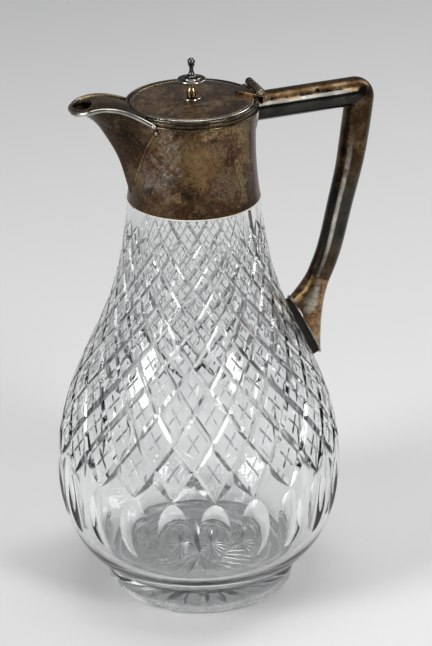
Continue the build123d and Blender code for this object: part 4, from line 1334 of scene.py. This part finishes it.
def channel_rings():
    rings = []
    for x, keel, half, top in spout_places():
        half, keel = max(0.5, half - SPOUT_WALL), min(keel + KEEL_WALL, top - 0.6)
        rings.append(skirt(min(x, SNOUT_TIP - 1.2), keel, half, top))
    return rings


def channel_block():
    """The space inside the spout, between the glass's lip and the ring."""
    block = mesh_piece(*skin(channel_rings()))
    for z, clears in ((glass_high.z, "clear_inner"), (collar_high.z, "clear_outer")):
        bpy.ops.mesh.select_all(action="SELECT")
        bpy.ops.mesh.bisect(plane_co=placed(0, 0, z), plane_no=(0, 0, 1), use_fill=True, **{clears: True})
    close_up()
    return block


def mount_block(outwards=0.0):
    """The collar and its ring as one solid, for trimming what meets them."""
    low, foot_r, ring_r = collar_low.z - MOUNT_DEEP, COLLAR_FOOT_R + outwards, rim_high.x - RING_LIP
    line = [(r + outwards, z) for r, z in collar_line()]
    ring = [(ring_r, collar_high.z), (ring_r, rim_high.z), (0.0, rim_high.z)]
    return spun([(0.0, low), (foot_r, low), *line, *ring])


def make_spout_body():
    rings = []
    for x, keel, half, top in spout_places():
        keel_in, half_in = min(keel + KEEL_WALL, top - 0.5), max(0.4, half - SPOUT_WALL)
        inner = skirt(min(x, SNOUT_TIP - 1.0), keel_in, half_in, top)
        rings.append(skirt(x, keel, half, top) + inner[::-1])
    body = mesh_piece(*skin(rings))
    cut_away(body, mount_block())
    finish("spout_sheet", SPOUT_SILVER, "jug", "spout_body", soften=40)


def make_spout_hood():
    rings = []
    for x, _, half, top in spout_places():
        over = []
        for n in range(HOOD_STEPS + 1):
            y = half * (2 * n / HOOD_STEPS - 1)
            over.append((-x, y, top + HOOD_RISE * (1 - (y / half) ** 2) * min(1, half / 6)))
        rings.append(over + [(x, y, z - SPOUT_WALL) for x, y, z in reversed(over)])
    hood = mesh_piece(*skin(rings))
    cut_away(hood, round_bar(rim_high.x - RING_LIP, *HOOD_CUT, sides=ROUND_STEPS))
    mouth = round_bar(1.0, *MOUTH_CUT, sides=64)
    mouth.scale = (MOUTH_LONG, MOUTH_WIDE, 1.0)
    mouth.location = placed(-MOUTH_X, 0, 0)
    work_on(mouth)
    bpy.ops.object.transform_apply()
    cut_away(hood, mouth)
    finish("spout_hood_sheet", HOOD_SILVER, "jug", "spout_hood", soften=40)


def blob(x, y, z, wide, tall):
    """A drop of solder."""
    nothing_selected()
    bpy.ops.mesh.primitive_uv_sphere_add(segments=24, ring_count=14, radius=wide * MM)
    drop = bpy.context.object
    drop.scale.z = tall / wide
    drop.location = placed(x, y, z)
    bpy.ops.object.transform_apply()
    return drop


def make_edge_wire():
    """The wire round the spout's edge, with two drops of solder at each of its ends."""
    one = [WIRE_END]
    for x, _, half, top in spout_places()[::3]:
        if WIRE_FROM < x < WIRE_TO:
            one.append((-x, half + WIRE_OUT, top + WIRE_OUT * 0.6))
    one += WIRE_SNOUT
    wire = wire_along(one + [WIRE_TIP] + [(x, -y, z) for x, y, z in reversed(one)], WIRE_R)
    drops = [blob(-26.9, y, 266.9, 1.5, 1.2) for y in (-21.0, 21.0)]
    drops += [blob(-26.0, y, 263.2, 0.9, 1.1) for y in (-21.4, 21.4)]
    joined(wire, *drops)
    finish("spout_wire", WIRE_SILVER, "jug", "spout_edge_wire", soften=60)


def seam_route():
    """Where the outside of one side of the spout meets the collar, from the bottom up."""
    low, high = collar_low.z + SEAM_FROM, collar_high.z - SEAM_TO
    collar_table = [(z, r) for r, z in collar_line()]
    stations = any_curve(SPOUT_STATIONS, 80)
    route = []
    for n in range(SEAM_STEPS + 1):
        z = low + (high - low) * n / SEAM_STEPS
        collar_r = share_of(collar_table, z)
        for x, keel, half, edge in stations:
            if not keel < z < edge:
                continue
            y = half * ((z - keel) / (edge - keel)) ** share_of(SPOUT_FLARES, x)
            if hypot(x, y) > collar_r:
                angle = atan2(y, x)
                route.append((-collar_r * cos(angle), collar_r * sin(angle), z))
                break
    return route


def make_spout_seam():
    """The soft line of solder where the spout's sheet runs into the collar."""
    routes = [[(x, side * y, z) for x, y, z in seam_route()] for side in (-1, 1)]
    joined(*[wire_along(route, SEAM_R, SEAM_THIN) for route in routes])
    finish("spout_solder_seam", SEAM_SILVER, "jug", soften=60)


# ---------------------------------------------------------------- handle
ROOT, ELBOW = Vector((0, 262.0)), Vector((91.4, 264.4))     # x and z of the upper arm's ends
ARM_FIRST, ARM_STEP, ARM_RINGS = 26, 2.45, 22               # the upper arm's rings along it
ARM_CLEAR = 1.3                                             # from the upper arm's end to the collar
ARM_R = 7.5
ELBOW_ROUND = 10.5          # rounding of the elbow's outer corner
# Share of the way from the elbow, bow outwards, radius.
LOWER_ARM = [
    (0.158, 1.5, 7.5), (0.370, 3.0, 7.1), (0.586, 2.8, 6.65), (0.805, 2.6, 6.45), (1.0, 0.0, 6.3),
]
# Share along the shoe's inner side, along its outer side, half width.
SHOE = [(0.0, 0.0, 6.3), (0.38, 0.22, 7.4), (0.70, 0.50, 8.6), (0.90, 0.80, 9.6), (1.0, 1.0, 10.4)]
SHOE_HOLLOW, SHOE_BACK = 0.42, 0.36         # how long the shoe's sides keep the arm's direction
PLATE_TOP_DROP, PLATE_LENGTH = 66.3, 33.3   # heights, below the collar and along the plate
PLATE_STAND = (3.7, 4.8)    # how far the plate's ends stand off the glass
ARM_END = Vector((7.6, 26.8))       # from the plate's middle to the arm's end
PLATE_LIP = 0.8             # how far the plate stands out round the shoe
# Depth and inset of the plate's rounded edge.
PLATE_EDGE = [(0.0, 0.35), (0.12, 0.1), (0.35, 0.0), (0.85, 0.0), (1.08, 0.1), (1.2, 0.35)]
AROUND = 48                 # points round the handle


def square_to(way):
    """The direction square to another in the handle's plane."""
    return Vector((-way.y, way.x))


def square_out(way):
    """The same, pointing away from the jug."""
    side = square_to(way)
    return side if side.x > 0 else -side


def between_rows(before, after):
    """The direction from one row of the arm's axis to another."""
    return Vector((after[1] - before[1], after[2] - before[2])).normalized()


def off_glass(height, stand):
    """The point a little off the glass at a height, as radius and height."""
    out = Vector(body_out(height))
    return Vector((body_r(height), height)) + out * stand


PLATE_TOP = off_glass(collar_low.z - PLATE_TOP_DROP, PLATE_STAND[0])
PLATE_FOOT = off_glass(collar_low.z - PLATE_TOP_DROP - PLATE_LENGTH, PLATE_STAND[1])
ARM_NECK = (PLATE_TOP + PLATE_FOOT) / 2 + ARM_END


def arm_axis():
    """The lower arm's middle line from the elbow down: share, x, z and radius."""
    way = ARM_NECK - ELBOW
    outwards = square_out(way).normalized()
    rows = [(0.0, *ELBOW, ARM_R)]
    for share, bow, radius in LOWER_ARM:
        rows.append((share, *(ELBOW + way * share + outwards * bow), radius))
    return any_curve(rows, 41)


def ring_about(middle, across, long_r, half):
    """A ring in the plane of Y and a direction in the handle's plane."""
    ring = []
    for n in range(AROUND):
        a = 2 * pi * n / AROUND
        place = middle + across * (long_r * cos(a))
        ring.append((place.x, half * sin(a), place.y))
    return ring


def corner_rings(start, end, steps=8):
    """The elbow: sharp inside, rounded outside, between two shares of the turn from arm to arm."""
    axis = arm_axis()
    along = (ELBOW - ROOT).normalized()
    first, last = square_to(along), square_to(between_rows(*axis[:2]))
    turn = atan2(first.x * last.y - first.y * last.x, first.dot(last))
    corner_way = (first + last) / (1 + first.dot(last))
    rings = []
    for k in range(steps + 1):
        facing = Matrix.Rotation(turn * (start + (end - start) * k / steps), 2) @ first
        ring = []
        for n in range(AROUND):
            a = 2 * pi * n / AROUND
            offset = ARM_R * cos(a)
            rounding = ELBOW_ROUND * (offset + ARM_R) / (2 * ARM_R)
            corner = ELBOW + corner_way * offset
            centre = corner - along * (rounding * tan(abs(turn) / 2)) - first * rounding
            place = centre + facing * rounding
            ring.append((place.x, ARM_R * sin(a), place.y))
        rings.append(ring)
    return rings


def make_upper_arm():
    along = (ELBOW - ROOT).normalized()
    rings = []
    for n in range(ARM_RINGS):
        middle = ROOT + along * (ARM_FIRST + ARM_STEP * n)
        rings.append(ring_about(middle, square_to(along), ARM_R, ARM_R))
    arm = mesh_piece(*skin(rings + corner_rings(0.0, 0.5)))
    cut_away(arm, mount_block(ARM_CLEAR))
    finish("upper_arm", HANDLE_SILVER, "jug", "handle_upper_arm", soften=35)


def make_lower_arm():
    rings = corner_rings(0.5, 1.0)
    axis = arm_axis()
    for before, now, after in zip(axis[2:], axis[3:], axis[4:] + axis[-1:]):
        _, x, z, radius = now
        rings.append(ring_about(Vector((x, z)), square_to(between_rows(before, after)), radius, radius))
    mesh_piece(*skin(rings))
    finish("lower_arm", ARM_SILVER, "jug", "handle_lower_arm", soften=35)


def bowed(start, end, way, reach, share):
    """A place on a line that leaves start along way and bends to end."""
    knee = start + way * ((end - start).length * reach)
    return start.lerp(knee, share).lerp(knee.lerp(end, share), share)


def shoe_rows():
    """Middle, direction across and half sizes of the shoe's rings down to the plate."""
    way = between_rows(*arm_axis()[-2:])
    side = square_out(way) * SHOE[0][2]
    rows = []
    for _, inner_share, outer_share, half in any_curve([(n, *row) for n, row in enumerate(SHOE)], 25):
        inner = bowed(ARM_NECK - side, PLATE_TOP, way, SHOE_HOLLOW, inner_share)
        outer = bowed(ARM_NECK + side, PLATE_FOOT, way, SHOE_BACK, outer_share)
        rows.append(((inner + outer) / 2, (outer - inner).normalized(), (outer - inner).length / 2, half))
    return rows


def make_shoe():
    mesh_piece(*skin([ring_about(*row) for row in shoe_rows()]))
    finish("shoe", SHOE_SILVER, "jug", "handle_shoe", soften=35)


def make_shoe_plate():
    """The plate under the shoe, with rounded edges all round."""
    middle, across, long_r, half = shoe_rows()[-1]
    off = square_out(across)
    rings = []
    for depth, inset in PLATE_EDGE:
        lip = PLATE_LIP - inset
        rings.append(ring_about(middle - off * depth, across, long_r + lip, half + lip))
    mesh_piece(*skin(rings))
    finish("shoe_seat_plate", PLATE_SILVER, "jug", "shoe_plate", soften=60)


# ---------------------------------------------------------------- hinge, and what keeps its own mesh
def eased(node, name, finish_of, body, ease):
    """The node's own shape with its sharp edges eased and its round faces smoothed."""
    piece = linked(name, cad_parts[node].data.copy())
    work_on(piece)
    close_up()
    bpy.ops.mesh.dissolve_limited(angle_limit=radians(1.5))
    to_object_mode()
    bevel = piece.modifiers.new("ease", "BEVEL")
    bevel.width = ease * MM
    bevel.segments = 3
    bevel.limit_method = "ANGLE"
    bevel.angle_limit = radians(32)
    bpy.ops.object.modifier_apply(modifier=bevel.name)
    finish(name, finish_of, body, node, soften=32)


def make_hinge():
    eased("hinge_saddle", "hinge_plate", HINGE_SILVER, "jug", ease=0.3)
    eased("hinge_pin", "hinge_pin_rod", PIN_SILVER, "jug", ease=0.15)
    eased("lid_hinge_leaf", "hinge_leaf", LEAF_SILVER, "lid", ease=0.25)
    eased("handle_tongue", "handle_escutcheon", WIRE_SILVER, "jug", ease=0.3)


KEPT_FINISH = {
    "neck_plaster": PLASTER,
    "shoe_plaster": SHOE_CEMENT_IN_SHADE,
    "finial_stud": BRASS,
    "finial_washer": BRASS,
    "finial_nut": BRASS,
}


def finish_kept_nodes():
    for node, finish_of in KEPT_FINISH.items():
        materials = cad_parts[node].data.materials
        materials.clear()
        materials.append(finish_of)


# ---------------------------------------------------------------- stage, lights and camera
FLOOR_COLOUR = (0.64, 0.64, 0.635)
# The camera's turn about the jug, its tilt, swing and roll in degrees, its distance and height.
CAMERA_TURN, CAMERA_TILT, CAMERA_SWING, CAMERA_ROLL = -18.0, 24.354, 0.478, -0.907
CAMERA_BACK, CAMERA_H = 1242.0, 709.0
LENS_PIXELS, FRAME_TALL = 2600.0, 646.0     # the lens and the picture's height, in pixels
JUG_MIDDLE, LAMPS_ABOUT_H = (0, 0, 140), 150


def make_floor():
    nothing_selected()
    bpy.ops.mesh.primitive_circle_add(vertices=96, radius=4.0, fill_type="NGON", location=(0, 0, 0))
    ground = bpy.context.object
    ground.name = "studio_floor"
    ground.data.materials.append(Finish("floor_paper").finished(Base_Color=FLOOR_COLOUR, Roughness=0.9))


def soft_lamp(name, place, size, power):
    """A lamp that shines on the jug's middle."""
    lamp = bpy.data.lights.new(name, "AREA")
    lamp.shape = "RECTANGLE"
    lamp.size, lamp.size_y = size
    lamp.energy = power
    holder = linked(name, lamp)
    holder.location = placed(*place)
    way = Vector(placed(*JUG_MIDDLE)) - holder.location
    holder.rotation_euler = way.to_track_quat("-Z", "Y").to_euler()


def lamp_at(name, turn, tilt, away, size, power):
    """A lamp seen from the jug at a turn from its front and a tilt above level."""
    turn, tilt = radians(turn), radians(tilt)
    level = away * cos(tilt)
    place = (level * sin(turn), -level * cos(turn), LAMPS_ABOUT_H + away * sin(tilt))
    soft_lamp(name, place, size, power)


def make_lights():
    lamp_at("window_left", -76, 30, 1500, (0.5, 0.8), 15)
    lamp_at("window_right", 24, 31, 1500, (0.36, 0.66), 12)
    lamp_at("back_fill", 105, 38, 1700, (0.5, 1.0), 8)
    soft_lamp("overhead", (100, 150, 1900), (1.2, 0.9), 13)
    world = bpy.context.scene.world = bpy.data.worlds.new("studio")
    world.use_nodes = True
    sky = world.node_tree.nodes["Background"].inputs
    sky["Color"].default_value = (0.36, 0.37, 0.38, 1)
    sky["Strength"].default_value = 0.55


def make_camera():
    tilt, swing, roll = (radians(a) for a in (CAMERA_TILT, CAMERA_SWING, CAMERA_ROLL))
    forward = Vector((sin(swing) * cos(tilt), cos(swing) * cos(tilt), -sin(tilt)))
    level = Vector((cos(swing), -sin(swing), 0))
    above = level.cross(forward)
    right = level * cos(roll) + above * sin(roll)
    up = above * cos(roll) - level * sin(roll)
    turned = Matrix.Rotation(radians(CAMERA_TURN), 3, "Z")
    axes = Matrix([turned @ right, turned @ up, turned @ -forward]).transposed()
    data = bpy.data.cameras.new("camera")
    data.lens = data.sensor_width * LENS_PIXELS / FRAME_TALL
    camera = linked("camera", data)
    place = turned @ Vector((0, -CAMERA_BACK * MM, 0)) + Vector((0, 0, CAMERA_H * MM))
    camera.matrix_world = Matrix.Translation(place) @ axes.to_4x4()
    bpy.context.scene.camera = camera


# ---------------------------------------------------------------- the jug
for make in (
    finish_kept_nodes, make_glass, make_cement_line, make_collar, make_rim_ring, make_bead_wire, make_lid,
    make_lid_wire, make_bezel, make_finial, make_spout_body, make_spout_hood, make_edge_wire,
    make_spout_seam, make_upper_arm, make_lower_arm, make_shoe, make_shoe_plate, make_hinge, make_floor,
    make_lights, make_camera,
):
    make()
bpy.context.scene.view_settings.view_transform = "Standard"

bpy.context.view_layer.update()
